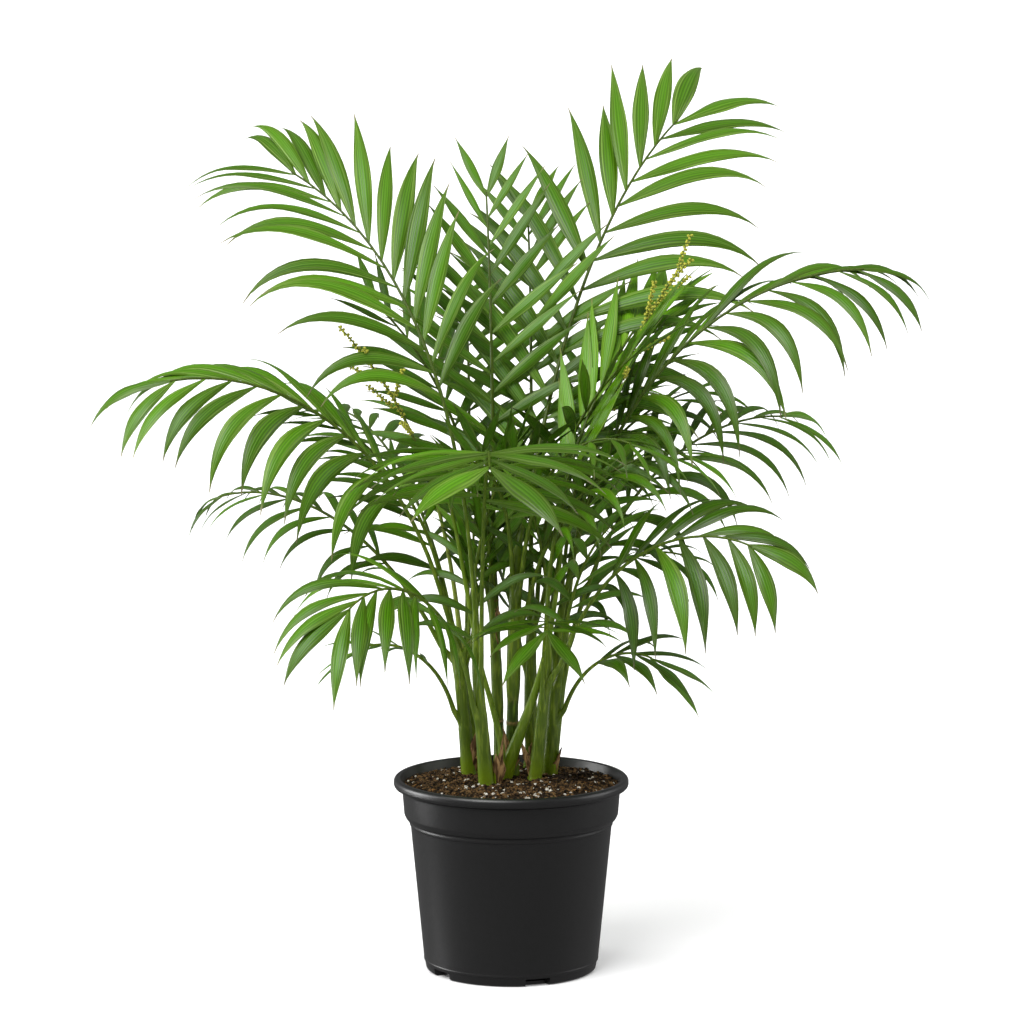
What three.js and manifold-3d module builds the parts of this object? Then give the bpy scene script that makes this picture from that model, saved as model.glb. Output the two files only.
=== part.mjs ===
// Parlour palm in a 21 cm nursery pot. Millimetres, +Z up, origin at the middle of the pot's flat underside.
// The plant's front is -Y. Headings are degrees anticlockwise from +X, seen from above.
import * as THREE from 'three';
import { mergeVertices } from 'three/addons/utils/BufferGeometryUtils.js';
import Module from 'manifold-3d';

const wasm = await Module();
wasm.setup();

// The air between touching solids, what rounding may leave of it, the smallest edge that a solid keeps, how
// near two corners are one, and how far a cutter reaches past what it cuts
const gap = 0.3;
const gapLeft = 0.297;
const smallest = 0.02;
const weld = 1e-4;
const past = 1;

// The pot: a tapered body, a collar that the next pot stacks on, and a rolled lip. Pairs are radius, height.
const pot = {
  height: 174,
  wall: 2.2,
  floor: { radius: 70, top: 3 },
  foot: { radius: 74, bevel: 2.4, rise: 1.6 },
  body: { low: [78, 9], high: [90, 131.5] },
  collar: { low: [95.6, 138], high: [97.4, 160.5], step: [2, 4] },
  lip: { radius: 105, foot: 163.5, round: 2, flat: 3.8 },
  sides: 40,
};
const slots = { count: 5, first: 288, angle: 17, height: 7, depth: 10, arcSteps: 3 };

// The compost that fills it, level in the middle and a little lower at the wall
const soil = { top: 170, edgeTop: 166, crown: 66, foot: 10, clearance: 0.7, shoulder: 2, sides: 32 };

// Canes: foot is [x, y] at the compost, head is [x, y, z] at the top, stout scales the girth
const caneShape = { sides: 8, rings: 7, ringSpread: 1.3, foot: 8, waist: 5.8, head: 6.4, flareFade: 7 };
const canes = {
  a: { foot: [-38, 34], head: [-47, 34, 272], stout: 1 },
  b: { foot: [-22, -14], head: [-29, -18, 258], stout: 1 },
  c: { foot: [0, 28], head: [4, 26, 352], stout: 1.05 },
  d: { foot: [21, 6], head: [31, 4, 262], stout: 0.9 },
  e: { foot: [35, 32], head: [42, 32, 290], stout: 0.95 },
  f: { foot: [-10, 56], head: [-16, 60, 330], stout: 0.9 },
  g: { foot: [17, 62], head: [18, 68, 300], stout: 0.85 },
  h: { foot: [-32, 66], head: [-44, 76, 262], stout: 0.85 },
  k: { foot: [36, 62], head: [47, 72, 268], stout: 0.85 },
};

// Fronds. cane, at: where the stalk leaves. at is a height up the cane's side, and the one with no at stands
// on the cane's head. heading, lean: its direction there, lean is from the vertical. bow, swing: how far it
// bends over and turns on its way. length: of stalk and rib.
// bare: the share without leaflets. pairs, leaf: leaflets and the length of the longest. ends: the share of
// it that the first and the last have. open: their angle to the rib at the first and the last pair. spread:
// scales that angle to the right and the left of the rib. roll: turn of the blade about its rib. lift: of
// the leaflets out of the blade. sag: how far they hang over.
const habit = { ends: [0.85, 0.7], open: [60, 26], spread: [1, 1], roll: 0, lift: 0, sag: 1 };
const fronds = {
  upper_right: { cane: 'c', heading: 58, lean: 18, bow: 47, swing: -2, length: 500, bare: 0.15,
    pairs: 14, leaf: 160, ends: [0.85, 0.76], open: [62, 24], spread: [1, 0.8], roll: 24, lift: 6, sag: 0.5 },
  upper_left: { cane: 'b', heading: 125, lean: 4, bow: 64, swing: 20, length: 532, bare: 0.38,
    pairs: 14, leaf: 150, ends: [0.85, 0.8], open: [58, 28], spread: [0.9, 1], roll: -24, lift: 8, sag: 0.6 },
  top_middle: { cane: 'f', heading: 95, lean: 0, bow: 34, swing: 0, length: 372, bare: 0.4,
    pairs: 9, leaf: 108, ends: [0.9, 0.6], open: [56, 26], lift: 10, sag: 0.2 },
  right_arch: { cane: 'e', heading: 0, lean: 9, bow: 83, swing: -1, length: 472, bare: 0.4,
    pairs: 12, leaf: 142, ends: [0.75, 0.6], open: [60, 28], spread: [1, 0.5], roll: 24, lift: -8, sag: 1.7 },
  right_middle: { cane: 'e', at: 250, heading: 15, lean: 12, bow: 86, swing: 12, length: 354, bare: 0.3,
    pairs: 10, leaf: 112, open: [58, 26], spread: [1, 0.8], roll: 24, lift: 6, sag: 1.3 },
  right_low: { cane: 'd', at: 244, heading: -25, lean: 18, bow: 95, swing: 2, length: 272, bare: 0.48,
    pairs: 9, leaf: 118, open: [70, 26], spread: [1.15, 0.6], roll: 44, lift: -8, sag: 1.6 },
  right_inner: { cane: 'k', at: 240, heading: -5, lean: 2, bow: 106, swing: 0, length: 190, bare: 0.4,
    pairs: 7, leaf: 90, open: [62, 30], roll: 20, sag: 0.9 },
  left_arch: { cane: 'a', heading: 186, lean: 13, bow: 93, swing: -1, length: 402, bare: 0.42,
    pairs: 11, leaf: 134, open: [64, 26], spread: [0.55, 1], roll: -32, lift: -6, sag: 1.6 },
  left_low: { cane: 'h', at: 244, heading: 168, lean: 26, bow: 84, swing: -18, length: 318, bare: 0.42,
    pairs: 9, leaf: 88, spread: [0.7, 1], roll: -22, lift: -5, sag: 1.4 },
  front_left: { cane: 'b', at: 214, heading: -142, lean: 8, bow: 120, swing: 14, length: 250, bare: 0.44,
    pairs: 9, leaf: 114, ends: [1, 0.85], open: [74, 20], roll: -24, sag: 1.4 },
  side_left_small: { cane: 'a', at: 212, heading: 198, lean: 14, bow: 105, swing: -8, length: 138, bare: 0.5,
    pairs: 4, leaf: 70, ends: [1, 0.8], lift: 6, sag: 0.8 },
  front: { cane: 'b', at: 234, heading: -85, lean: 1, bow: 120, swing: -4, length: 385, bare: 0.56,
    pairs: 8, leaf: 128, ends: [1, 0.8], open: [84, 22], lift: 8, sag: 0.5 },
  front_low: { cane: 'd', at: 225, heading: -82, lean: 1, bow: 118, swing: -9, length: 157, bare: 0.62,
    pairs: 4, leaf: 85, ends: [1, 0.9], open: [66, 30], sag: 0.7 },
  front_right_low: { cane: 'e', at: 215, heading: -18, lean: 17, bow: 100, swing: 5, length: 122, bare: 0.55,
    pairs: 4, leaf: 90, ends: [1, 0.9], open: [54, 24], roll: 10, lift: 2, sag: 1.1 },
  young: { cane: 'd', heading: 20, lean: 0, bow: 75, swing: 45, length: 395, bare: 0.5,
    pairs: 9, leaf: 100, open: [34, 18], lift: 22, sag: 0.2 },
  inner_left: { cane: 'f', at: 300, heading: 150, lean: 4, bow: 48, swing: 10, length: 320, bare: 0.42,
    pairs: 9, leaf: 92, roll: -30, lift: 6, sag: 0.5 },
  inner_middle: { cane: 'g', heading: 88, lean: 0, bow: 44, swing: 5, length: 390, bare: 0.4,
    pairs: 11, leaf: 112, lift: 8, sag: 0.4 },
  inner_right: { cane: 'e', at: 248, heading: 66, lean: 4, bow: 58, swing: -20, length: 370, bare: 0.4,
    pairs: 10, leaf: 104, roll: 10, lift: 4, sag: 0.7 },
  back_high: { cane: 'h', at: 242, heading: 84, lean: 6, bow: 66, swing: 12, length: 430, bare: 0.36,
    pairs: 12, leaf: 124, open: [62, 28], lift: 6, sag: 0.8 },
  back_right: { cane: 'k', at: 245, heading: 76, lean: 12, bow: 84, swing: -4, length: 370, bare: 0.36,
    pairs: 11, leaf: 118, open: [62, 28], sag: 1.1 },
  back_left: { cane: 'h', at: 222, heading: 124, lean: 14, bow: 70, swing: 0, length: 350, bare: 0.38,
    pairs: 10, leaf: 105, open: [62, 28], sag: 1.1 },
  back_low: { cane: 'g', at: 260, heading: 90, lean: 26, bow: 92, swing: 0, length: 300, bare: 0.4,
    pairs: 9, leaf: 100, open: [62, 28], lift: -4, sag: 1.1 },
  middle_left: { cane: 'a', at: 250, heading: 158, lean: 4, bow: 66, swing: 12, length: 290, bare: 0.5,
    pairs: 7, leaf: 80, ends: [0.9, 0.8], roll: -15, sag: 0.8 },
  front_right: { cane: 'c', at: 320, heading: -55, lean: 6, bow: 100, swing: 10, length: 250, bare: 0.45,
    pairs: 7, leaf: 100, ends: [1, 0.8], open: [64, 24], sag: 1.1 },
  middle_right: { cane: 'g', at: 285, heading: 28, lean: 10, bow: 70, swing: -8, length: 290, bare: 0.42,
    pairs: 8, leaf: 88, ends: [0.9, 0.8], roll: 20, sag: 0.7 },
  centre_low: { cane: 'c', at: 292, heading: -20, lean: 10, bow: 84, swing: 12, length: 250, bare: 0.4,
    pairs: 7, leaf: 96, ends: [1, 0.8], open: [62, 26], roll: 10, lift: -4, sag: 1.5 },
  centre_high: { cane: 'g', at: 280, heading: -40, lean: 2, bow: 52, swing: 10, length: 300, bare: 0.42,
    pairs: 8, leaf: 104, ends: [0.9, 0.8], open: [58, 26], sag: 0.7 },
  front_middle: { cane: 'c', at: 335, heading: -110, lean: 4, bow: 100, swing: -12, length: 190, bare: 0.4,
    pairs: 6, leaf: 88, ends: [1, 0.9], open: [66, 24], lift: -6, sag: 1.4 },
};

// Flower heads: the same stalk, with side sprigs on its last part and buds in rows along them
const flowers = {
  left: { cane: 'h', heading: 150, lean: 6, bow: 40, swing: 0, length: 330, bare: 0.72,
    sprigs: 4, sprig: 56, open: [52, 34] },
  right: { cane: 'k', heading: 22, lean: 6, bow: 30, swing: 14, length: 400, bare: 0.62,
    sprigs: 6, sprig: 66, open: [56, 34] },
};
const sprigShape = { radius: 1, taper: 0.6, shorten: 0.45, tilt: 0.4, reach: 0.97, firstBud: 0.2 };
const bud = { radius: 3, pitch: 15, off: 1.6, lead: 0.6, spikeShare: 0.7 };

// Stalks and ribs: radii at the cane, along the stalk and at the tip, and steps along the path
const rib = { foot: 3.6, stalk: 2.3, tip: 0.9, sheathFade: 14, off: 1.4, steps: 24, stride: 2, bend: 1.6 };

// Leaflets: width as a share of the length, a ridge this thick, and the steps that carry a cross-section with
// the share of the width there. turns are the angles that a leaflet tries, to stay clear of its neighbours.
const leafShape = {
  width: 0.118,
  lastWidth: 1.5,
  thickness: 1.5,
  steps: 8,
  rings: [[3, 1], [6, 0.62]],
  longestAt: 0.4,
  lengthFade: 1.6,
  openFade: 1.2,
  tipSag: 0.5,
  stagger: 0.2,
  reach: 0.98,
};
const turns = [0, 12, -12, 24, -24, 38, -38];

const colours = {
  pot: ['#262627', 0.5],
  soil: ['#3a2818', 1],
  cane: ['#4d5f1d', 0.55],
  frond: ['#3f7420', 0.5],
  young: ['#6fa02c', 0.5],
  flowers: ['#a9ab3c', 0.7],
};

const { degToRad: rad, lerp } = THREE.MathUtils;

function finish(name, geometry, kind) {
  const [color, roughness] = colours[kind];
  const material = new THREE.MeshStandardMaterial({ color, roughness, metalness: 0 });
  const mesh = new THREE.Mesh(geometry, material);
  mesh.name = name;
  return mesh;
}

// A closed skin over rings of corners that run anticlockwise about the way forward. A lone point is a tip.
function loft(rings) {
  const corners = [];
  const last = rings.length - 1;
  const cap = (ring, order) => {
    for (let j = 1; j < ring.length - 1; j++) corners.push(ring[0], ring[j + order[0]], ring[j + order[1]]);
  };
  cap(rings[0], [1, 0]);
  for (let i = 0; i < last; i++) {
    const [a, b] = [rings[i], rings[i + 1]];
    const n = Math.max(a.length, b.length);
    for (let j = 0; j < n; j++) {
      const k = (j + 1) % n;
      if (a.length > 1) corners.push(a[j], a[k], b[k % b.length]);
      if (b.length > 1) corners.push(a[j % a.length], b[k], b[j]);
    }
  }
  cap(rings[last], [0, 1]);
  return new THREE.BufferGeometry().setFromPoints(corners);
}

function solid(geometry) {
  const bare = geometry.clone();
  bare.deleteAttribute('normal');
  bare.deleteAttribute('uv');
  const merged = mergeVertices(bare, weld);
  return new wasm.Manifold(new wasm.Mesh({
    numProp: 3,
    vertProperties: new Float32Array(merged.attributes.position.array),
    triVerts: new Uint32Array(merged.index.array),
  }));
}

function geometryOf(manifold) {
  const mesh = manifold.getMesh();
  const geometry = new THREE.BufferGeometry();
  geometry.setAttribute('position', new THREE.BufferAttribute(mesh.vertProperties, 3));
  geometry.setIndex(new THREE.BufferAttribute(mesh.triVerts, 1));
  return geometry;
}

// A ring of n corners about a point, in the plane of across and over
function ring(centre, across, over, radius, n) {
  return Array.from({ length: n }, (_, j) => {
    const a = (2 * Math.PI * j) / n;
    const corner = centre.clone().addScaledVector(across, radius * Math.cos(a));
    return corner.addScaledVector(over, radius * Math.sin(a));
  });
}

function lathe(points, sides) {
  const geometry = new THREE.LatheGeometry(points.map(([x, y]) => new THREE.Vector2(x, y)), sides);
  return solid(geometry.rotateX(Math.PI / 2));
}

// Pot

function potShell() {
  const { height, wall, floor, foot, body, collar, lip } = pot;
  const inner = ([radius, z], rise) => [radius - wall, z + rise];
  return lathe([
    [0, 0],
    [foot.radius, 0],
    [foot.radius + foot.bevel, foot.rise],
    body.low,
    body.high,
    [collar.low[0] - collar.step[0], collar.low[1] - collar.step[1]],
    collar.low,
    collar.high,
    [lip.radius - lip.round / 2, lip.foot],
    [lip.radius, lip.foot + lip.round],
    [lip.radius, height - lip.round],
    [lip.radius - lip.round, height],
    [lip.radius - lip.round - lip.flat, height],
    inner(collar.high, 1),
    inner(collar.low, 1),
    inner(body.high, -wall),
    inner(body.low, 1),
    [floor.radius, floor.top],
    [0, floor.top],
  ], pot.sides);
}

// Drain slots cut through the corner between the wall and the floor
function drainSlot(index) {
  const middle = rad(slots.first + (360 / slots.count) * index);
  const half = rad(slots.angle / 2);
  const radius = pot.body.low[0];
  const shape = new THREE.Shape();
  shape.absarc(0, 0, radius + slots.depth, middle - half, middle + half, false);
  shape.absarc(0, 0, radius - slots.depth, middle + half, middle - half, true);
  const options = { depth: slots.height + past, bevelEnabled: false, curveSegments: slots.arcSteps };
  return solid(new THREE.ExtrudeGeometry(shape, options).translate(0, 0, -past));
}

function makePot() {
  let shell = potShell();
  for (let i = 0; i < slots.count; i++) shell = shell.subtract(drainSlot(i));
  return finish('pot', geometryOf(shell), 'pot');
}

function makeSoil() {
  const { wall, collar, body } = pot;
  const inside = ([radius, z], rise) => [radius - wall - soil.clearance, z + rise];
  const edge = collar.high[0] - wall - soil.clearance - soil.clearance;
  return finish('soil', geometryOf(lathe([
    [0, soil.foot],
    [inside(body.low, 0)[0], soil.foot],
    inside(body.high, 0),
    inside(collar.low, wall),
    [edge, soil.edgeTop - 2 * soil.shoulder],
    [edge - soil.shoulder, soil.edgeTop],
    [soil.crown, soil.top],
    [0, soil.top],
  ], soil.sides)), 'soil');
}

// Canes

function caneAxis(cane, height) {
  const [x, y, z] = cane.head;
  const t = (height - soil.top - gap) / (z - soil.top - gap);
  return new THREE.Vector3(lerp(cane.foot[0], x, t), lerp(cane.foot[1], y, t), height);
}

function caneGirth(cane, t) {
  const { foot, waist, head, flareFade } = caneShape;
  const flare = (foot - waist) * Math.exp(-flareFade * t);
  return cane.stout * (waist + flare + (head - waist) * t * t);
}

function caneSolid(cane, extra) {
  const low = soil.top + gap;
  const [across, over] = [new THREE.Vector3(1, 0, 0), new THREE.Vector3(0, 1, 0)];
  const rings = [];
  for (let i = 0; i <= caneShape.rings; i++) {
    const t = (i / caneShape.rings) ** caneShape.ringSpread;
    const centre = caneAxis(cane, lerp(low, cane.head[2] + extra, t));
    rings.push(ring(centre, across, over, caneGirth(cane, t) + extra, caneShape.sides));
  }
  return solid(loft(rings));
}

// Fronds

// A stalk stands on its cane's head, or on the side of the cane lower down
function stalkFoot(stalk) {
  const cane = canes[stalk.cane];
  const { at = cane.head[2], heading } = stalk;
  const foot = caneAxis(cane, at);
  if (at === cane.head[2]) return foot;
  const out = caneGirth(cane, (at - soil.top) / (cane.head[2] - soil.top)) + rib.off;
  return foot.add(new THREE.Vector3(Math.cos(rad(heading)) * out, Math.sin(rad(heading)) * out, 0));
}

// Points along a stalk with the way forward, the side and the upper face of the blade at each
function stalkPath(stalk) {
  const path = [];
  const point = stalkFoot(stalk);
  for (let i = 0; i <= rib.steps; i++) {
    const s = i / rib.steps;
    const polar = rad(stalk.lean + stalk.bow * s ** rib.bend);
    const turn = rad(stalk.heading + stalk.swing * s);
    const flat = new THREE.Vector3(Math.cos(turn), Math.sin(turn), 0);
    const ahead = flat.multiplyScalar(Math.sin(polar)).setZ(Math.cos(polar));
    const side = new THREE.Vector3(Math.sin(turn), -Math.cos(turn), 0).applyAxisAngle(ahead, rad(stalk.roll));
    const face = side.clone().cross(ahead);
    if (i % rib.stride === 0) path.push({ point: point.clone(), ahead, side, face });
    point.addScaledVector(ahead, stalk.length / rib.steps);
  }
  return path;
}

function alongPath(path, s) {
  const x = s * (path.length - 1);
  const i = Math.min(Math.floor(x), path.length - 2);
  const mix = (key) => path[i][key].clone().lerp(path[i + 1][key], x - i);
  const [ahead, side, face] = ['ahead', 'side', 'face'].map((key) => mix(key).normalize());
  return { point: mix('point'), ahead, side, face };
}

// A three-sided stalk and rib, with a wider foot that is cut to lie against its cane
function stalkSolid(stalk, path) {
  const body = solid(loft(path.map(({ point, side, face }, i) => {
    const s = i / (path.length - 1);
    const sheath = (rib.foot - rib.stalk) * Math.exp(-rib.sheathFade * s);
    return ring(point, side, face, lerp(rib.stalk, rib.tip, s) + sheath, 3).reverse();
  })));
  return body.subtract(caneSolid(canes[stalk.cane], gap));
}

// The middle line of a leaflet from its root in the rib: it sets out straight and hangs over as it goes
function leafLine(root, ahead, length, sag) {
  const line = [{ point: root.clone(), ahead: ahead.clone() }];
  const way = ahead.clone();
  const point = root.clone();
  for (let i = 0; i < leafShape.steps; i++) {
    way.z -= (sag * (2 * i + 1)) / leafShape.steps ** 2;
    way.normalize();
    point.addScaledVector(way, length / leafShape.steps);
    line.push({ point: point.clone(), ahead: way.clone() });
  }
  return line;
}

// A leaflet is a spindle of three faces: a flat underside and a ridge along its middle. Its width lies along
// the rib at its root, and from there it bends with the leaflet but never turns about it.
function leafSolid(line, width, across, face) {
  const rings = [[line[0].point]];
  const over = across.clone().cross(line[0].ahead);
  if (over.dot(face) < 0) over.negate();
  for (const [step, share] of leafShape.rings) {
    const { point, ahead } = line[step];
    over.addScaledVector(ahead, -over.dot(ahead)).normalize();
    const side = ahead.clone().cross(over);
    const half = (width * share) / 2;
    rings.push([
      point.clone().addScaledVector(over, leafShape.thickness),
      point.clone().addScaledVector(side, half),
      point.clone().addScaledVector(side, -half),
    ]);
  }
  rings.push([line.at(-1).point]);
  return solid(loft(rings));
}

// Leaflets are longest part of the way along the blade and shorten to its first and its last pair
function lengthShare([first, last], u) {
  const peak = leafShape.longestAt;
  const [end, away] = u < peak ? [first, 1 - u / peak] : [last, (u - peak) / (1 - peak)];
  return 1 + (end - 1) * away ** leafShape.lengthFade;
}

// Every leaflet of a frond, as the angles and sizes that place it
function leafletsOf(frond) {
  const { width, lastWidth, openFade, tipSag, stagger, reach } = leafShape;
  const leaflets = [];
  for (let i = 0; i < frond.pairs; i++) {
    const u = i / (frond.pairs - 1);
    const isLast = i === frond.pairs - 1;
    const length = frond.leaf * lengthShare(frond.ends, u);
    for (const hand of [1, -1]) {
      const shift = isLast ? 0 : (hand * stagger) / frond.pairs;
      leaflets.push({
        hand,
        length,
        s: frond.bare + (1 - frond.bare) * (u + shift) * reach,
        open: lerp(frond.open[0], frond.open[1], u ** openFade) * frond.spread[hand > 0 ? 0 : 1],
        width: length * width * (isLast ? lastWidth : 1),
        sag: frond.sag * lerp(1, tipSag, u),
      });
    }
  }
  return leaflets;
}

function makeLeaflet(frond, path, leaflet, turn) {
  const { point, ahead, side, face } = alongPath(path, leaflet.s);
  const lift = rad(frond.lift + turn);
  const open = rad(leaflet.open);
  const out = side.multiplyScalar(leaflet.hand * Math.cos(lift)).addScaledVector(face, Math.sin(lift));
  const way = ahead.clone().multiplyScalar(Math.cos(open)).addScaledVector(out, Math.sin(open));
  return leafSolid(leafLine(point, way, leaflet.length, leaflet.sag), leaflet.width, ahead, face);
}

// Flower heads

function budSolid(centre) {
  return solid(new THREE.OctahedronGeometry(bud.radius).translate(centre.x, centre.y, centre.z));
}

// Buds on alternate sides of a twig, from one share of its length to its tip
function budsAlong(pointAt, length, first, side) {
  const count = Math.floor((length * (1 - first)) / bud.pitch);
  return Array.from({ length: count }, (_, i) => {
    const point = pointAt(first + ((i + bud.lead) / count) * (1 - first));
    return budSolid(point.addScaledVector(side, i % 2 ? bud.off : -bud.off));
  });
}

// One side sprig, u of the way from the lowest to the last
function makeSprig(head, path, index) {
  const { radius, taper, shorten, tilt, reach, firstBud } = sprigShape;
  const u = index / (head.sprigs - 1);
  const hand = index % 2 ? 1 : -1;
  const { point, ahead, side, face } = alongPath(path, lerp(head.bare, reach, u));
  const open = rad(lerp(head.open[0], head.open[1], u));
  const out = side.clone().multiplyScalar(hand).addScaledVector(face, tilt * (index % 3 - 1)).normalize();
  const way = ahead.clone().multiplyScalar(Math.cos(open)).addScaledVector(out, Math.sin(open));
  const tip = point.clone().addScaledVector(way, head.sprig * (1 - shorten * u));
  const across = way.clone().cross(face).normalize();
  const over = across.clone().cross(way);
  const ends = [ring(point, across, over, radius, 3), ring(tip, across, over, radius * taper, 3)];
  const twig = solid(loft(ends.map((corners) => corners.reverse())));
  return [twig, ...budsAlong((t) => point.clone().lerp(tip, t), point.distanceTo(tip), firstBud, across)];
}

function makeFlowerHead(head) {
  const path = stalkPath({ roll: 0, ...head });
  const parts = [stalkSolid(head, path)];
  for (let i = 0; i < head.sprigs; i++) parts.push(...makeSprig(head, path, i));
  const firstBud = 1 - (1 - head.bare) * bud.spikeShare;
  parts.push(...budsAlong((t) => alongPath(path, t).point, head.length, firstBud, path.at(-1).side));
  return parts;
}

// Growing the plant: ribs first, then the leaflets of one frond after another, each clear of the others

const caneSolids = Object.entries(canes).map(([name, cane]) => ({ name, parts: [caneSolid(cane, 0)] }));
const flowerHeads = Object.entries(flowers).map(([name, head]) => ({ name, parts: makeFlowerHead(head) }));
const grown = Object.entries(fronds).map(([name, own]) => {
  const frond = { ...habit, ...own };
  const path = stalkPath(frond);
  return { name, frond, path, parts: [stalkSolid(frond, path)] };
});

function boxesMeet(a, b) {
  const [p, q] = [a.boundingBox(), b.boundingBox()];
  return [0, 1, 2].every((k) => p.min[k] - gap < q.max[k] && q.min[k] - gap < p.max[k]);
}

function isClear(leaf, own) {
  const others = [...grown, ...flowerHeads, ...caneSolids].filter((piece) => piece !== own);
  const near = [...others.flatMap(({ parts }) => parts), ...own.parts.slice(1)];
  return near.every((other) => !boxesMeet(leaf, other) || leaf.minGap(other, gap) >= gapLeft);
}

// The leaflet at the first turn that is clear, or none
function clearLeaflet(own, leaflet) {
  for (const turn of turns) {
    const leaf = makeLeaflet(own.frond, own.path, leaflet, turn);
    if (isClear(leaf, own)) return [leaf];
  }
  return [];
}

// The two leaflets of the last pair start at one point, so each is tested before either is added
for (const own of grown) {
  const leaflets = leafletsOf(own.frond);
  for (const leaflet of leaflets.slice(0, -2)) own.parts.push(...clearLeaflet(own, leaflet));
  own.parts.push(...leaflets.slice(-2).flatMap((leaflet) => clearLeaflet(own, leaflet)));
}

const palm = new THREE.Group();
const addEach = (pieces, prefix, kindOf) => {
  for (const { name, parts } of pieces) {
    const whole = wasm.Manifold.union(parts).simplify(smallest);
    palm.add(finish(`${prefix}_${name}`, geometryOf(whole), kindOf(name)));
  }
};
palm.add(makePot(), makeSoil());
addEach(caneSolids, 'cane', () => 'cane');
addEach(flowerHeads, 'flowers', () => 'flowers');
addEach(grown, 'frond', (name) => (name === 'young' ? 'young' : 'frond'));

export default palm;
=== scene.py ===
import math
import random

import bmesh
import bpy
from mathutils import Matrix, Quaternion, Vector, noise
from mathutils.bvhtree import BVHTree


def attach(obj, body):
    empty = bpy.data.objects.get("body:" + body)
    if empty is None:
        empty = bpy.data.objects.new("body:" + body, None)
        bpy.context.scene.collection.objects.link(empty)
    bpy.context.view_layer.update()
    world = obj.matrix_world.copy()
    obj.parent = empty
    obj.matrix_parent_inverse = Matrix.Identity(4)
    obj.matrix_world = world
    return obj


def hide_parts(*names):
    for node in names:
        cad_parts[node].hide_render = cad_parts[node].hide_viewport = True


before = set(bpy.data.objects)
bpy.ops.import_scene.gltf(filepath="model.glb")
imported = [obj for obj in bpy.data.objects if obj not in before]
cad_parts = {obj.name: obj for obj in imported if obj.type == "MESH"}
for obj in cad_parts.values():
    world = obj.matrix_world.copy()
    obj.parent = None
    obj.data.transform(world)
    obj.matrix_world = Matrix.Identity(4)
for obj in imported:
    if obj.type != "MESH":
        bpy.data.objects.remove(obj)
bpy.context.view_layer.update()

# Parlour palm in its nursery pot. Sizes are millimetres in the frame's axes, and meshes are made in metres.
mm = 0.001
rng = random.Random(11)


def lerp(a, b, t):
    return a + (b - a) * t


def smoothStep(low, high, value):
    t = min(max((value - low) / (high - low), 0), 1)
    return t * t * (3 - 2 * t)


def tone(code):  # a colour written #rrggbb, as the linear colour that a socket takes
    parts = [int(code[i:i + 2], 16) / 255 for i in (1, 3, 5)]
    return (*[v / 12.92 if v <= 0.04045 else ((v + 0.055) / 1.055) ** 2.4 for v in parts], 1)


# Nodes

def newTree(name, kind, inputs, outputs):
    tree = bpy.data.node_groups.new(name, kind)
    for way, sockets in (("INPUT", inputs), ("OUTPUT", outputs)):
        for label, (form, value) in sockets.items():
            socket = tree.interface.new_socket(label, in_out=way, socket_type="NodeSocket" + form)
            if value is not None:
                socket.default_value = value
    return tree, tree.nodes.new("NodeGroupInput").outputs, tree.nodes.new("NodeGroupOutput").inputs


def add(tree, kind, inputs=None, **settings):  # a node, with links to sockets and plain values for the rest
    node = tree.nodes.new(kind)
    for key, value in settings.items():
        setattr(node, key, value)
    for key, value in (inputs or {}).items():
        if isinstance(value, bpy.types.NodeSocket):
            tree.links.new(value, node.inputs[key])
        else:
            node.inputs[key].default_value = value
    return node


def made(tree, kind, inputs=None, **settings):  # the same, for a node whose first output is what counts
    return add(tree, kind, inputs, **settings).outputs[0]


def calc(tree, operation, a, b=0.0, c=0.0):
    return made(tree, "ShaderNodeMath", {0: a, 1: b, 2: c}, operation=operation)


def ramp(tree, value, low, high, a=0.0, b=1.0):  # a smooth step from a at low to b at high
    node = add(tree, "ShaderNodeMapRange", {"Value": value, "From Min": low, "From Max": high, "To Min": a,
               "To Max": b}, interpolation_type="SMOOTHSTEP")
    return node.outputs["Result"]


def blendColours(tree, factor, a, b, way="MIX"):
    node = tree.nodes.new("ShaderNodeMix")
    node.data_type = "RGBA"
    node.blend_type = way
    sockets = [s for s in node.inputs if s.enabled]
    for socket, value in zip(sockets, (factor, a, b)):
        if isinstance(value, bpy.types.NodeSocket):
            tree.links.new(value, socket)
        else:
            socket.default_value = value
    return [s for s in node.outputs if s.enabled][0]


def combined(tree, x, y, z=0.0):
    return made(tree, "ShaderNodeCombineXYZ", {0: x, 1: y, 2: z})


def grain(tree, place, scale, detail):  # soft noise between 0 and 1
    return made(tree, "ShaderNodeTexNoise", {"Vector": place, "Scale": scale, "Detail": detail})


def reading(tree, name):  # a layer of the mesh, in a material
    return add(tree, "ShaderNodeAttribute", attribute_name=name).outputs["Fac"]


def field(tree, name, form="FLOAT"):  # a layer of the mesh, in a geometry tree
    return made(tree, "GeometryNodeInputNamedAttribute", {"Name": name}, data_type=form)


def vectorCalc(tree, operation, a, b):
    second = "Scale" if operation == "SCALE" else 1
    return made(tree, "ShaderNodeVectorMath", {0: a, second: b}, operation=operation)


# Meshes

def newPiece(name, data):  # an object for a mesh, a camera or a light
    piece = bpy.data.objects.new(name, data)
    bpy.context.collection.objects.link(piece)
    return piece


def setLayer(mesh, name, values):  # one number or one vector for each point
    form = "FLOAT_VECTOR" if isinstance(values[0], Vector) else "FLOAT"
    layer = mesh.attributes.new(name, form, "POINT")
    if form == "FLOAT":
        layer.data.foreach_set("value", values)
    else:
        layer.data.foreach_set("vector", [x for vector in values for x in vector])


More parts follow.
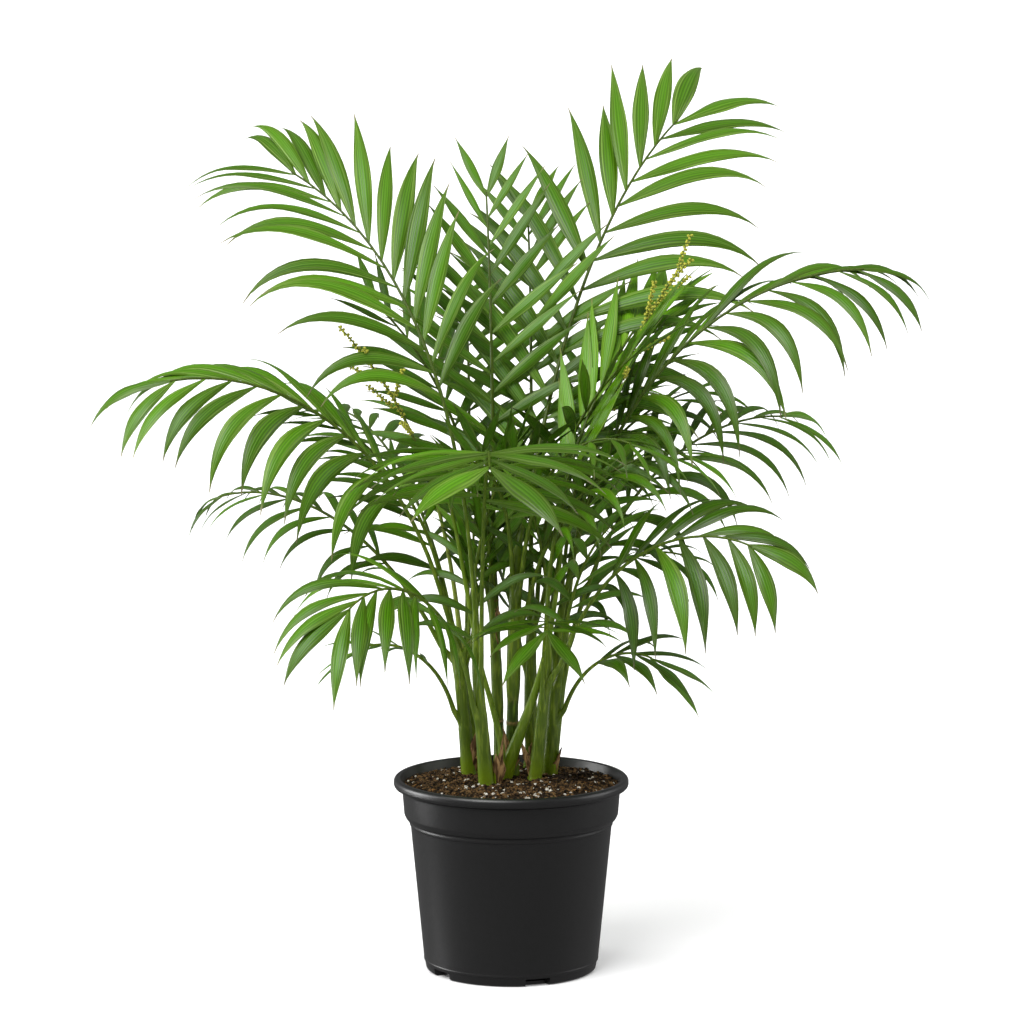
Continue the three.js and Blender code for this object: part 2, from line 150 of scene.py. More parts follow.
def pathMesh(name, paths):  # each path is a list of points, each a dictionary with "point" and its layers
    stations = [station for path in paths for station in path]
    edges = []
    first = 0
    for path in paths:
        edges += [(first + i, first + i + 1) for i in range(len(path) - 1)]
        first += len(path)
    mesh = bpy.data.meshes.new(name)
    mesh.from_pydata([station["point"] * mm for station in stations], edges, [])
    for key in stations[0]:
        if key != "point":
            setLayer(mesh, key, [station[key] for station in stations])
    return mesh


def shapePiece(piece, tree, **values):  # runs a geometry tree on a piece and keeps the plain mesh
    modifier = piece.modifiers.new(tree.name, "NODES")
    modifier.node_group = tree
    for item in tree.interface.items_tree:
        if item.in_out == "INPUT" and item.name in values:
            modifier[item.identifier] = values[item.name]
    return bakePiece(piece)


def bakePiece(piece):
    graph = bpy.context.evaluated_depsgraph_get()
    mesh = bpy.data.meshes.new_from_object(piece.evaluated_get(graph), preserve_all_data_layers=True,
                                           depsgraph=graph)
    piece.modifiers.clear()
    old = piece.data
    piece.data = mesh
    bpy.data.meshes.remove(old)
    mesh.name = piece.name
    return piece


def finishPiece(piece, nodes=()):
    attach(piece, "root")
    if nodes:
        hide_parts(*nodes)
    print("piece", piece.name, len(piece.data.polygons), "faces")


def meshFrom(form, name):
    mesh = bpy.data.meshes.new(name)
    form.to_mesh(mesh)
    form.free()
    return mesh


# The plant's rule: canes, stalks on them, and leaflets along each rib

soil = {"top": 170, "gap": 0.3, "edge": 166, "crown": 66, "radius": 96, "foot": 150}
caneShape = {"foot": 7.4, "waist": 4.7, "head": 4.8, "flareFade": 7}  # radii, and how soon the foot narrows
canes = {  # foot and head of each axis, its share of the girth, and the heights of its leaf scars
    "a": {"foot": (-38, 34), "head": (-47, 34, 272), "stout": 1},
    "b": {"foot": (-22, -14), "head": (-29, -18, 258), "stout": 1},
    "c": {"foot": (0, 28), "head": (4, 26, 352), "stout": 1.05},
    "d": {"foot": (21, 6), "head": (31, 4, 262), "stout": 0.9, "scars": (199, 220.5, 223, 246)},
    "e": {"foot": (35, 32), "head": (42, 32, 290), "stout": 0.95},
    "f": {"foot": (-10, 56), "head": (-16, 60, 330), "stout": 0.9,
          "scars": (214, 248, 276, 283, 291, 298, 307, 316, 324)},
    "g": {"foot": (17, 62), "head": (18, 68, 300), "stout": 0.85},
    "h": {"foot": (-32, 66), "head": (-44, 76, 262), "stout": 0.85},
    "k": {"foot": (36, 62), "head": (47, 72, 268), "stout": 0.85},
}

# cane and at: where a stalk leaves, at the cane's head if there is no at. heading and lean: its way there in
# degrees, and bow and swing how far it bends over and turns. length: of stalk and rib. bare: the share that
# has no leaflets. pairs and leaf: their number and the longest one, and ends the first and last pair's share
# of that. open: their angle to the rib, and spread its share on the right and left. roll: of the blade about
# its rib. lift, sag and wide: how far leaflets rise out of the blade, hang over and broaden.
# tint: which copy of one leaf green a frond takes; sunlit is painted light, mid painted half shade and deep
# painted shade, while young is the new frond's own paler green.
fronds = {
    "upper_right": {"cane": "c", "heading": 58, "lean": 18, "bow": 47, "swing": -2, "length": 500,
        "bare": 0.15, "pairs": 14, "leaf": 172, "ends": (0.85, 0.82), "open": (62, 24), "spread": (1, 0.8),
        "roll": 24, "lift": 10, "sag": 1.5, "wide": 0.72, "tint": "sunlit"},
    "upper_left": {"cane": "b", "heading": 125, "lean": 4, "bow": 64, "swing": 20, "length": 532,
        "bare": 0.5, "pairs": 13, "leaf": 160, "ends": (0.8, 0.74), "open": (54, 28), "spread": (0.74, 1),
        "roll": -24, "lift": 14, "sag": 2.0, "wide": 0.72, "tint": "sunlit"},
    "top_middle": {"cane": "f", "heading": 95, "lean": 0, "bow": 34, "swing": 0, "length": 372, "bare": 0.4,
        "pairs": 9, "leaf": 108, "ends": (0.9, 0.6), "open": (56, 26), "lift": 10, "sag": 0.2,
        "tint": "sunlit"},
    "right_arch": {"cane": "e", "heading": 0, "lean": 9, "bow": 83, "swing": -1, "length": 472, "bare": 0.4,
        "pairs": 14, "leaf": 146, "ends": (0.8, 0.62), "open": (60, 28), "spread": (1.12, 0.46), "roll": 24,
        "lift": 0, "sag": 2.9, "wide": 0.74, "tint": "deep"},
    "right_middle": {"cane": "e", "at": 250, "heading": 15, "lean": 12, "bow": 86, "swing": 12,
        "length": 354, "bare": 0.36, "pairs": 10, "leaf": 118, "open": (58, 28), "spread": (1, 0.8),
        "roll": 24, "lift": 8, "sag": 2.5, "wide": 0.64, "tint": "deep"},
    "right_low": {"cane": "d", "at": 244, "heading": -25, "lean": 18, "bow": 95, "swing": 2, "length": 272,
        "bare": 0.48, "pairs": 7, "leaf": 118, "open": (70, 26), "spread": (1.15, 0.6), "roll": 44,
        "lift": -6, "sag": 2.4, "wide": 1.04, "tint": "deep"},
    "right_inner": {"cane": "k", "at": 240, "heading": -5, "lean": 2, "bow": 106, "swing": 0, "length": 190,
        "bare": 0.4, "pairs": 6, "leaf": 84, "open": (62, 30), "roll": 20, "sag": 2.2, "wide": 0.7,
        "tint": "deep"},
    "left_arch": {"cane": "a", "heading": 186, "lean": 13, "bow": 89, "swing": -1, "length": 402,
        "bare": 0.42, "pairs": 11, "leaf": 134, "open": (64, 26), "spread": (0.55, 1.2), "roll": -32,
        "lift": -2, "sag": 2.5, "wide": 0.94, "tint": "sunlit"},
    "left_low": {"cane": "h", "at": 244, "heading": 168, "lean": 26, "bow": 84, "swing": -18, "length": 318,
        "bare": 0.42, "pairs": 9, "leaf": 88, "spread": (0.7, 1), "roll": -22, "lift": 0, "sag": 2.3,
        "tint": "deep"},
    "front_left": {"cane": "b", "at": 214, "heading": -142, "lean": 8, "bow": 120, "swing": 14,
        "length": 250, "bare": 0.44, "pairs": 9, "leaf": 114, "ends": (1, 0.85), "open": (74, 20),
        "roll": -24, "sag": 2.1, "wide": 0.92, "tint": "sunlit"},
    "side_left_small": {"cane": "a", "at": 212, "heading": 198, "lean": 14, "bow": 105, "swing": -8,
        "length": 138, "bare": 0.5, "pairs": 4, "leaf": 70, "ends": (1, 0.8), "lift": 6, "sag": 0.8},
    "front": {"cane": "b", "at": 234, "heading": -85, "lean": 1, "bow": 112, "swing": -4, "length": 385,
        "bare": 0.56, "pairs": 11, "leaf": 128, "ends": (1, 0.85), "open": (92, 44), "lift": 6, "sag": 1.0,
        "wide": 1.05, "tint": "deep"},
    "front_low": {"cane": "d", "at": 225, "heading": -82, "lean": 1, "bow": 118, "swing": -9, "length": 157,
        "bare": 0.62, "pairs": 4, "leaf": 85, "ends": (1, 0.9), "open": (66, 30), "sag": 0.9, "wide": 1},
    "front_right_low": {"cane": "e", "at": 215, "heading": -18, "lean": 17, "bow": 100, "swing": 5,
        "length": 122, "bare": 0.55, "pairs": 4, "leaf": 90, "ends": (1, 0.9), "open": (54, 24), "roll": 10,
        "lift": 2, "sag": 1.3, "wide": 1.08, "tint": "deep"},
    "young": {"cane": "d", "heading": 20, "lean": 0, "bow": 75, "swing": 45, "length": 395, "bare": 0.46,
        "pairs": 10, "leaf": 128, "open": (26, 14), "lift": 14, "sag": 0.2, "wide": 0.8, "tint": "young"},
    "inner_left": {"cane": "f", "at": 300, "heading": 150, "lean": 4, "bow": 48, "swing": 10, "length": 320,
        "bare": 0.42, "pairs": 9, "leaf": 92, "roll": -30, "lift": 6, "sag": 0.5},
    "inner_middle": {"cane": "g", "heading": 88, "lean": 0, "bow": 44, "swing": 5, "length": 390,
        "bare": 0.4, "pairs": 11, "leaf": 112, "lift": 8, "sag": 0.4},
    "inner_right": {"cane": "e", "at": 248, "heading": 66, "lean": 4, "bow": 58, "swing": -20,
        "length": 370, "bare": 0.4, "pairs": 10, "leaf": 104, "roll": 10, "lift": 4, "sag": 0.7,
        "wide": 0.64},
    "back_high": {"cane": "h", "at": 242, "heading": 84, "lean": 6, "bow": 66, "swing": 12, "length": 430,
        "bare": 0.36, "pairs": 12, "leaf": 124, "open": (62, 28), "lift": 6, "sag": 0.8, "wide": 0.7},
    "back_right": {"cane": "k", "at": 245, "heading": 76, "lean": 12, "bow": 84, "swing": -4, "length": 370,
        "bare": 0.36, "pairs": 9, "leaf": 112, "open": (62, 28), "sag": 1.8, "wide": 0.56, "tint": "deep"},
    "back_left": {"cane": "h", "at": 222, "heading": 124, "lean": 14, "bow": 70, "swing": 0, "length": 350,
        "bare": 0.38, "pairs": 10, "leaf": 105, "open": (62, 28), "sag": 1.1, "tint": "deep"},
    "back_low": {"cane": "g", "at": 260, "heading": 90, "lean": 26, "bow": 92, "swing": 0, "length": 300,
        "bare": 0.4, "pairs": 9, "leaf": 100, "open": (62, 28), "lift": -4, "sag": 1.1, "tint": "deep"},
    "middle_left": {"cane": "a", "at": 250, "heading": 158, "lean": 4, "bow": 66, "swing": 12,
        "length": 290, "bare": 0.5, "pairs": 7, "leaf": 80, "ends": (0.9, 0.8), "roll": -15, "sag": 0.8},
    "front_right": {"cane": "c", "at": 320, "heading": -55, "lean": 6, "bow": 100, "swing": 10,
        "length": 250, "bare": 0.45, "pairs": 6, "leaf": 90, "ends": (1, 0.8), "open": (60, 24),
        "sag": 1.6, "wide": 0.62, "tint": "deep"},
    "middle_right": {"cane": "g", "at": 285, "heading": 28, "lean": 10, "bow": 70, "swing": -8,
        "length": 290, "bare": 0.42, "pairs": 7, "leaf": 86, "ends": (0.9, 0.8), "roll": 20, "sag": 2,
        "wide": 0.58},
    "centre_low": {"cane": "c", "at": 292, "heading": -20, "lean": 10, "bow": 84, "swing": 12,
        "length": 250, "bare": 0.4, "pairs": 7, "leaf": 96, "ends": (1, 0.8), "open": (62, 26), "roll": 10,
        "lift": -4, "sag": 1.8, "wide": 0.6},
    "centre_high": {"cane": "g", "at": 280, "heading": -40, "lean": 2, "bow": 52, "swing": 10,
        "length": 300, "bare": 0.42, "pairs": 8, "leaf": 104, "ends": (0.9, 0.8), "open": (58, 26),
        "sag": 0.7},
    "front_middle": {"cane": "c", "at": 335, "heading": -110, "lean": 4, "bow": 100, "swing": -12,
        "length": 190, "bare": 0.4, "pairs": 6, "leaf": 88, "ends": (1, 0.9), "open": (66, 24), "lift": -6,
        "sag": 1.4},
}
shoots = [  # leafless sheaths from the clump's foot, as points with their radius
    ((-7, 15, 164, 6.8), (-1, 14, 186, 6.2), (9, 12, 214, 5), (20, 12, 244, 3.8), (30, 13, 280, 2.8),
     (38, 15, 322, 2.2), (44, 18, 372, 1.8), (47, 22, 430, 1.3)),
    ((-9, 8, 165, 3.6), (-9, 8, 200, 3.2), (-17, 9, 236, 2.6), (-28, 12, 276, 2.2), (-38, 15, 330, 2),
     (-50, 20, 396, 1.7), (-64, 26, 452, 1.2)),
    ((-13, -11, 165, 3.7), (-13, -12, 176, 3.2), (-12, -12, 186, 2.4)),
]
fillers = {  # small fronds low in the crown, between the canes
    "low_a": {"cane": "f", "at": 268, "heading": -110, "lean": 4, "bow": 34, "swing": 15, "length": 210,
        "bare": 0.3, "pairs": 8, "leaf": 92, "open": (40, 20), "lift": 6, "sag": 0.6},
    "low_b": {"cane": "k", "at": 256, "heading": -70, "lean": 6, "bow": 40, "swing": 12, "length": 215,
        "bare": 0.32, "pairs": 7, "leaf": 92, "open": (42, 20), "sag": 0.7},
    "low_c": {"cane": "a", "at": 262, "heading": -25, "lean": 3, "bow": 30, "swing": -10, "length": 220,
        "bare": 0.32, "pairs": 7, "leaf": 90, "open": (40, 20), "sag": 0.6},
    "low_d": {"cane": "e", "at": 270, "heading": 215, "lean": 2, "bow": 34, "swing": 14, "length": 200,
        "bare": 0.32, "pairs": 7, "leaf": 88, "open": (42, 20), "sag": 0.7},
    "low_e": {"cane": "h", "at": 252, "heading": -45, "lean": 8, "bow": 36, "swing": 0, "length": 230,
        "bare": 0.34, "pairs": 8, "leaf": 90, "open": (44, 22), "sag": 0.8, "tint": "deep"},
    "low_f": {"cane": "g", "at": 248, "heading": 160, "lean": 8, "bow": 46, "swing": 0, "length": 200,
        "bare": 0.34, "pairs": 7, "leaf": 86, "open": (44, 22), "sag": 0.8, "tint": "deep"},
    "low_g": {"cane": "d", "at": 236, "heading": 70, "lean": 6, "bow": 60, "swing": 10, "length": 175,
        "bare": 0.36, "pairs": 6, "leaf": 84, "open": (58, 28), "sag": 1.9, "tint": "deep"},
    "low_h": {"cane": "b", "at": 232, "heading": 100, "lean": 6, "bow": 56, "swing": -8, "length": 190,
        "bare": 0.36, "pairs": 6, "leaf": 84, "open": (58, 28), "sag": 1.9, "tint": "deep"},
    "low_i": {"cane": "e", "at": 240, "heading": -60, "lean": 8, "bow": 46, "swing": 10, "length": 185,
        "bare": 0.36, "pairs": 6, "leaf": 84, "open": (54, 26), "sag": 1.5},
}
flowers = {  # sprigs and the longest one, with open as their angle to the stalk
    "left": {"cane": "h", "heading": 210, "lean": 6, "bow": 38, "swing": -6, "length": 322, "bare": 0.68,
        "sprigs": 6, "sprig": 62, "open": (56, 34)},
    "right": {"cane": "k", "heading": -8, "lean": 5, "bow": 32, "swing": 10, "length": 382, "bare": 0.6,
        "sprigs": 9, "sprig": 84, "open": (66, 34)},
}
habit = {"ends": (0.85, 0.7), "open": (60, 26), "spread": (1, 1), "roll": 0, "lift": 0, "sag": 1,
         "wide": 0.76, "tint": "mid"}  # for what a frond doesn't say
rib = {"foot": 3.6, "stalk": 2.3, "tip": 0.9, "sheathFade": 14, "off": 1.4, "steps": 24, "bend": 1.6}
blade = {"width": 0.138, "lastWidth": 1.3, "thinnest": 0.3, "widestAt": 0.47, "rootShare": 0.13, "steps": 14,
         "longestAt": 0.4, "lengthFade": 1.6, "openFade": 1.2, "tipSag": 0.6, "stiff": 0.12,
         "stagger": 0.2, "reach": 0.98, "hookFrom": 0.7, "widening": (1.8, 1.1), "narrowing": (1.7, 1.35)}
waver = {"open": 5, "lift": 8, "length": 0.09, "sag": 0.2, "width": 0.12, "turn": 22, "hook": 0.6,
         "longer": 0.3, "leastHook": 0.1}
clearing = {  # the turns tried, the most crossings kept, and what is tested of leaflets, canes and stalks
    "turns": (0, 7, -7, 14, -14, 22, -22, 32, -32), "most": 6, "from": 2, "caneSteps": 4,
    "tube": (0, 2.1, 4.2),
}


def caneAxis(cane, height):
    x, y, z = cane["head"]
    t = (height - soil["top"] - soil["gap"]) / (z - soil["top"] - soil["gap"])
    return Vector((lerp(cane["foot"][0], x, t), lerp(cane["foot"][1], y, t), height))


def caneGirth(cane, height):
    t = max((height - soil["top"]) / (cane["head"][2] - soil["top"]), 0)
    flare = (caneShape["foot"] - caneShape["waist"]) * math.exp(-caneShape["flareFade"] * t)
    swell = (caneShape["head"] - caneShape["waist"]) * min(t, 1)**2
    return cane["stout"] * (caneShape["waist"] + flare + swell)


def stalkFoot(stalk):
    cane = canes[stalk["cane"]]
    if "at" not in stalk:
        return caneAxis(cane, cane["head"][2])
    turn = math.radians(stalk["heading"])
    out = caneGirth(cane, stalk["at"]) + rib["off"]
    return caneAxis(cane, stalk["at"]) + Vector((math.cos(turn), math.sin(turn), 0)) * out


def stalkPath(stalk):  # points with the way forward, the side and the upper face of the blade at each
    path = []
    point = stalkFoot(stalk)
    for i in range(rib["steps"] + 1):
        s = i / rib["steps"]
        polar = math.radians(stalk["lean"] + stalk["bow"] * s**rib["bend"])
        turn = math.radians(stalk["heading"] + stalk["swing"] * s)
        flat = math.sin(polar)
        ahead = Vector((flat * math.cos(turn), flat * math.sin(turn), math.cos(polar)))
        side = Vector((math.sin(turn), -math.cos(turn), 0))
        side.rotate(Quaternion(ahead, math.radians(stalk.get("roll", 0))))
        path.append({"point": point.copy(), "ahead": ahead, "side": side, "face": side.cross(ahead)})
        point += ahead * (stalk["length"] / rib["steps"])
    return path


def alongPath(path, s):
    x = min(max(s, 0), 1) * (len(path) - 1)
    i = min(int(x), len(path) - 2)
    return {key: path[i][key].lerp(path[i + 1][key], x - i) for key in path[i]}


def ribRadius(s):
    return lerp(rib["stalk"], rib["tip"], s) + (rib["foot"] - rib["stalk"]) * math.exp(-rib["sheathFade"] * s)


def lengthShare(ends, u):  # longest part of the way along the blade, shorter to its first and its last pair
    peak = blade["longestAt"]
    end, away = (ends[0], 1 - u / peak) if u < peak else (ends[1], (u - peak) / (1 - peak))
    return 1 + (end - 1) * away**blade["lengthFade"]


def leafletsOf(frond):
    leaflets = []
    for i in range(frond["pairs"]):
        u = i / (frond["pairs"] - 1)
        isLast = i == frond["pairs"] - 1
        length = frond["leaf"] * lengthShare(frond["ends"], u)
        for hand in (1, -1):
            shift = 0 if isLast else hand * blade["stagger"] / frond["pairs"]
            spread = frond["spread"][0 if hand > 0 else 1]
            leaflets.append({
                "hand": hand,
                "length": length * (1 + rng.uniform(-1, waver["longer"]) * waver["length"]),
                "s": frond["bare"] + (1 - frond["bare"]) * (u + shift) * blade["reach"],
                "open": lerp(*frond["open"], u**blade["openFade"]) * spread
                + rng.uniform(-1, 1) * waver["open"],
                "lift": frond["lift"] + rng.uniform(-1, 1) * waver["lift"],
                "width": length * blade["width"] * (blade["lastWidth"] if isLast else 1)
                * (1 + rng.uniform(-1, 1) * waver["width"]),
                "sag": frond["sag"] * lerp(1, blade["tipSag"], u) * (1 + rng.uniform(-1, 1) * waver["sag"]),
                "wide": frond["wide"],
                "turn": rng.uniform(-1, 1) * waver["turn"],
                "hook": rng.uniform(waver["leastHook"], 1) * waver["hook"],
                "leafTone": rng.random(),
            })
    return leaflets


def bladeShare(t):  # a leaflet's width along its length, as a share of the widest place
    widestAt = blade["widestAt"]
    if t < widestAt:
        a, b = blade["widening"]
        return blade["rootShare"] + (1 - blade["rootShare"]) * (1 - (1 - t / widestAt)**a)**b
    a, b = blade["narrowing"]
    return (1 - ((t - widestAt) / (1 - widestAt))**a)**b


def leafLine(root, way, over, leaflet):  # sets out straight, hangs over as it goes, and hooks down at its tip
    steps = blade["steps"]
    way = way.copy()
    over = over.copy()
    point = root.copy()
    sag = leaflet["sag"] * lerp(blade["stiff"], 1, 1 - way.z * abs(way.z))  # an upright leaflet hardly hangs
    line = []
    for i in range(steps + 1):
        t = i / steps
        over -= way * over.dot(way)
        over.normalize()
        turned = over.copy()
        turned.rotate(Quaternion(way, math.radians(leaflet["turn"] * t)))
        line.append({
            "point": point.copy(),
            "halfWidth": max(leaflet["width"] / 2 * leaflet["wide"] * bladeShare(t), blade["thinnest"]) * mm,
            "along": t,
            "leafTone": leaflet["leafTone"],
            "overWay": turned,
            "sideWay": turned.cross(way),
        })
        hook = leaflet["hook"] * smoothStep(blade["hookFrom"], 1, t) / steps
        way.z -= sag * (2 * i + 1) / steps**2 + hook
        way.normalize()
        point += way * (leaflet["length"] / steps)
    return line


def makeLeaflet(frond, path, leaflet, turn):
    here = alongPath(path, leaflet["s"])
    lift = math.radians(leaflet["lift"] + turn)
    opening = math.radians(leaflet["open"])
    out = here["side"] * leaflet["hand"] * math.cos(lift) + here["face"] * math.sin(lift)
    way = here["ahead"] * math.cos(opening) + out * math.sin(opening)
    over = here["ahead"].cross(way)
    if over.dot(here["face"]) < 0:
        over.negate()
    return leafLine(here["point"], way.normalized(), over.normalized(), leaflet)


# Keeping leaflets clear of each other, of the canes and of other stalks

def stripTest(line, first):  # a flat strip over a leaflet's line, with its box
    corners = []
    for station in line[first:]:
        half = station["sideWay"] * station["halfWidth"] / mm
        corners += [station["point"] - half, station["point"] + half]
    quads = [(k, k + 1, k + 3, k + 2) for k in range(0, len(corners) - 2, 2)]
    return boxed(corners, quads)


def boxed(corners, faces):
    low = [min(p[k] for p in corners) for k in range(3)]
    high = [max(p[k] for p in corners) for k in range(3)]
    return {"tree": BVHTree.FromPolygons(corners, faces), "low": low, "high": high}


def tubeTest(stations):  # a three-sided tube round points with their radius
    corners = []
    for point, radius in stations:
        corners += [point + Vector((math.cos(a), math.sin(a), 0)) * radius for a in clearing["tube"]]
    faces = [(3 * i + j, 3 * i + (j + 1) % 3, 3 * i + 3 + (j + 1) % 3, 3 * i + 3 + j)
             for i in range(len(stations) - 1) for j in range(3)]
    return boxed(corners, faces)


def crossings(one, others):
    found = 0
    for other in others:
        if all(one["low"][k] < other["high"][k] and other["low"][k] < one["high"][k] for k in range(3)):
            found += len(one["tree"].overlap(other["tree"]))
    return found


def growCrown():  # a leaflet is turned until it crosses least, and left out where it still crosses too much
    grown = {}
    for name, own in {**fronds, **fillers}.items():
        frond = {**habit, **own}
        path = stalkPath(frond)
        stations = [(path[i]["point"], ribRadius(i / rib["steps"])) for i in range(rib["steps"] + 1)]
        grown[name] = {"frond": frond, "path": path, "leaves": [], "stalk": tubeTest(stations)}
    trunks = []
    for cane in canes.values():
        count = clearing["caneSteps"]
        heights = [lerp(soil["top"], cane["head"][2], i / count) for i in range(count + 1)]
        trunks.append(tubeTest([(caneAxis(cane, h), caneGirth(cane, h)) for h in heights]))
    trunks += [tubeTest([(Vector(point[:3]), point[3]) for point in shoot]) for shoot in shoots]
    taken = []
    left = 0
    for name, own in grown.items():
        others = trunks + [each["stalk"] for other, each in grown.items() if other != name]
        for leaflet in leafletsOf(own["frond"]):
            best = None
            for turn in clearing["turns"]:
                line = makeLeaflet(own["frond"], own["path"], leaflet, turn)
                strip = stripTest(line, clearing["from"])
                found = crossings(strip, taken) + crossings(strip, others)
                if best is None or found < best[0]:
                    best = (found, line, strip)
                if found == 0:
                    break
            if best[0] > clearing["most"]:
                left += 1
                continue
            taken.append(best[2])
            own["leaves"].append(best[1])
    print("leaflets", sum(len(own["leaves"]) for own in grown.values()), "left out", left)
    return grown


# Materials

leafLook = {  # where each part fades in: along a leaflet, from its middle outwards, or in the noise; outside and streaks place the painted sheen
    "foot": (0.06, 0.36), "end": (0.96, 0.6), "middle": (0.85, 0.1), "outside": (0.9, 0.0, 0.15, 0.75),
    "streaks": (0.42, 0.68), "edge": (0.86, 1.0), "tip": (0.9, 0.985), "midrib": (0.075, 0.02, 0.0, 0.16),
    "groove": (0.1, 0.0, 0.0, 2.0), "edgeShare": 0.5, "acrossScale": 5.0, "alongScale": 1.6, "shuffle": 90.0,
    "veins": 21.0, "veinShade": 0.25, "toneShade": (0.5, 0.74), "roughness": (0.2, 0.26),
}


def bladeFigure():  # a leaflet's colours and veins, placed by its own across and along, with a painted sheen in pale streaks
    tree, given, result = newTree("bladeFigure", "ShaderNodeTree", {
        "Base": ("Color", (0.1, 0.3, 0.05, 1)), "Middle": ("Color", (0.1, 0.4, 0.05, 1)),
        "Pale": ("Color", (0.3, 0.4, 0.2, 1)), "Edge": ("Color", (0.05, 0.1, 0.02, 1)),
        "Tip": ("Color", (0.2, 0.18, 0.1, 1))},
        {"Color": ("Color", None), "Roughness": ("Float", None), "Height": ("Float", None)})
    across, along, leafTone = [reading(tree, name) for name in ("across", "along", "leafTone")]
    away = calc(tree, "ABSOLUTE", across)
    place = combined(tree, calc(tree, "MULTIPLY", across, leafLook["acrossScale"]),
                     calc(tree, "MULTIPLY", along, leafLook["alongScale"]),
                     calc(tree, "MULTIPLY", leafTone, leafLook["shuffle"]))
    streak = grain(tree, place, 1.0, 2.0)
    body = calc(tree, "MULTIPLY", ramp(tree, along, *leafLook["foot"]), ramp(tree, along, *leafLook["end"]))
    bright = calc(tree, "MULTIPLY", ramp(tree, away, *leafLook["middle"]), body)
    color = blendColours(tree, bright, given["Base"], given["Middle"])
    # painted sheen: pale greyish streaks, strongest away from the bright middle, towards the edges, foot and
    # tip, stand in for the lamps' sheen on the leaf
    outside = ramp(tree, bright, *leafLook["outside"])
    paintedSheenShare = calc(tree, "MULTIPLY", ramp(tree, streak, *leafLook["streaks"]), outside)
    color = blendColours(tree, paintedSheenShare, color, given["Pale"])
    edge = calc(tree, "MULTIPLY", ramp(tree, away, *leafLook["edge"]), leafLook["edgeShare"])
    color = blendColours(tree, edge, color, given["Edge"])
    color = blendColours(tree, ramp(tree, along, *leafLook["tip"]), color, given["Tip"])
    vein = calc(tree, "SINE", calc(tree, "MULTIPLY_ADD", across, leafLook["veins"], streak))
    own = calc(tree, "MULTIPLY_ADD", leafTone, *leafLook["toneShade"])
    shade = calc(tree, "MULTIPLY_ADD", vein, leafLook["veinShade"], own)
    gray = made(tree, "ShaderNodeCombineColor", {0: shade, 1: shade, 2: shade})
    color = blendColours(tree, 1.0, color, gray, "MULTIPLY")
    # the same pale colour also lightens the midrib a little
    color = blendColours(tree, ramp(tree, away, *leafLook["midrib"]), color, given["Pale"])
    height = calc(tree, "SUBTRACT", vein, ramp(tree, away, *leafLook["groove"]))
    tree.links.new(color, result["Color"])
    tree.links.new(calc(tree, "MULTIPLY_ADD", streak, *leafLook["roughness"]), result["Roughness"])
    tree.links.new(height, result["Height"])
    return tree


def speckle():  # two tones in soft spots, with finer grain in the height
    tree, given, result = newTree("speckle", "ShaderNodeTree", {
        "Light": ("Color", (0.5, 0.5, 0.5, 1)), "Dark": ("Color", (0.1, 0.1, 0.1, 1)),
        "Size": ("Float", 5.0), "Stretch": ("Float", 1.0), "Low": ("Float", 0.4), "High": ("Float", 0.6)},
        {"Color": ("Color", None), "Height": ("Float", None)})
    place = add(tree, "ShaderNodeTexCoord").outputs["Object"]
    xyz = add(tree, "ShaderNodeSeparateXYZ", {0: place}).outputs
    drawn = combined(tree, xyz[0], xyz[1], calc(tree, "DIVIDE", xyz[2], given["Stretch"]))
    scale = calc(tree, "DIVIDE", 1000.0, given["Size"])  # for a size in millimetres
    spots = grain(tree, drawn, scale, 3.0)
    fine = grain(tree, drawn, calc(tree, "MULTIPLY", scale, 4.0), 2.0)
    mask = ramp(tree, spots, given["Low"], given["High"])
    tree.links.new(blendColours(tree, mask, given["Dark"], given["Light"]), result["Color"])
    tree.links.new(calc(tree, "MULTIPLY_ADD", fine, 0.5, spots), result["Height"])
    return tree


groups = {"bladeFigure": bladeFigure(), "speckle": speckle()}


def newMaterial(name, specular=0.5, roughness=0.5):
    material = bpy.data.materials.new(name)
    material.use_nodes = True
    tree = material.node_tree
    shader = tree.nodes["Principled BSDF"]
    shader.inputs["Specular IOR Level"].default_value = specular
    shader.inputs["Roughness"].default_value = roughness
    return material, tree, shader.inputs


def placed(tree, name, **values):  # one of the shared groups, with this material's own values
    node = tree.nodes.new("ShaderNodeGroup")
    node.node_tree = groups[name]
    for key, value in values.items():
        node.inputs[key].default_value = value
    return node.outputs


def addRelief(tree, sockets, height, depth, strength=1.0):
    bump = made(tree, "ShaderNodeBump", {"Height": height, "Distance": depth * mm, "Strength": strength})
    tree.links.new(bump, sockets["Normal"])


leafTones = {  # base, middle, painted sheen in pale streaks, edge and dry tip
    # sunlit, mid and deep are one leaf green painted lit, half shaded and shaded; young is the new growth's
    # own paler green
    "sunlit": ("#3c5c00", "#406e00", "#6c8c36", "#324c04", "#766e4c"),
    "mid": ("#3e6000", "#427200", "#64802e", "#2c4404", "#6a6644"),
    "deep": ("#354f00", "#386000", "#526a2a", "#243604", "#5a563c"),
    "young": ("#4a7600", "#508200", "#6e8e28", "#345004", "#6f7038"),
}


def leafMaterial(name):
    material, tree, sockets = newMaterial("leaf" + name.capitalize(), specular=0.34)
    base, middle, paintedSheenTone, edge, tip = [tone(code) for code in leafTones[name]]
    figure = placed(tree, "bladeFigure", Base=base, Middle=middle, Pale=paintedSheenTone, Edge=edge, Tip=tip)
    tree.links.new(figure["Color"], sockets["Base Color"])
    tree.links.new(figure["Roughness"], sockets["Roughness"])
    addRelief(tree, sockets, figure["Height"], depth=0.12, strength=0.5)
    return material


def speckledMaterial(name, light, dark, size, depth, stretch=1.0, spread=(0.4, 0.6), **shader):
    material, tree, sockets = newMaterial(name, **shader)
    spots = placed(tree, "speckle", Light=tone(light), Dark=tone(dark), Size=size, Stretch=stretch,
                   Low=spread[0], High=spread[1])
    tree.links.new(spots["Color"], sockets["Base Color"])
    addRelief(tree, sockets, spots["Height"], depth)
    return material


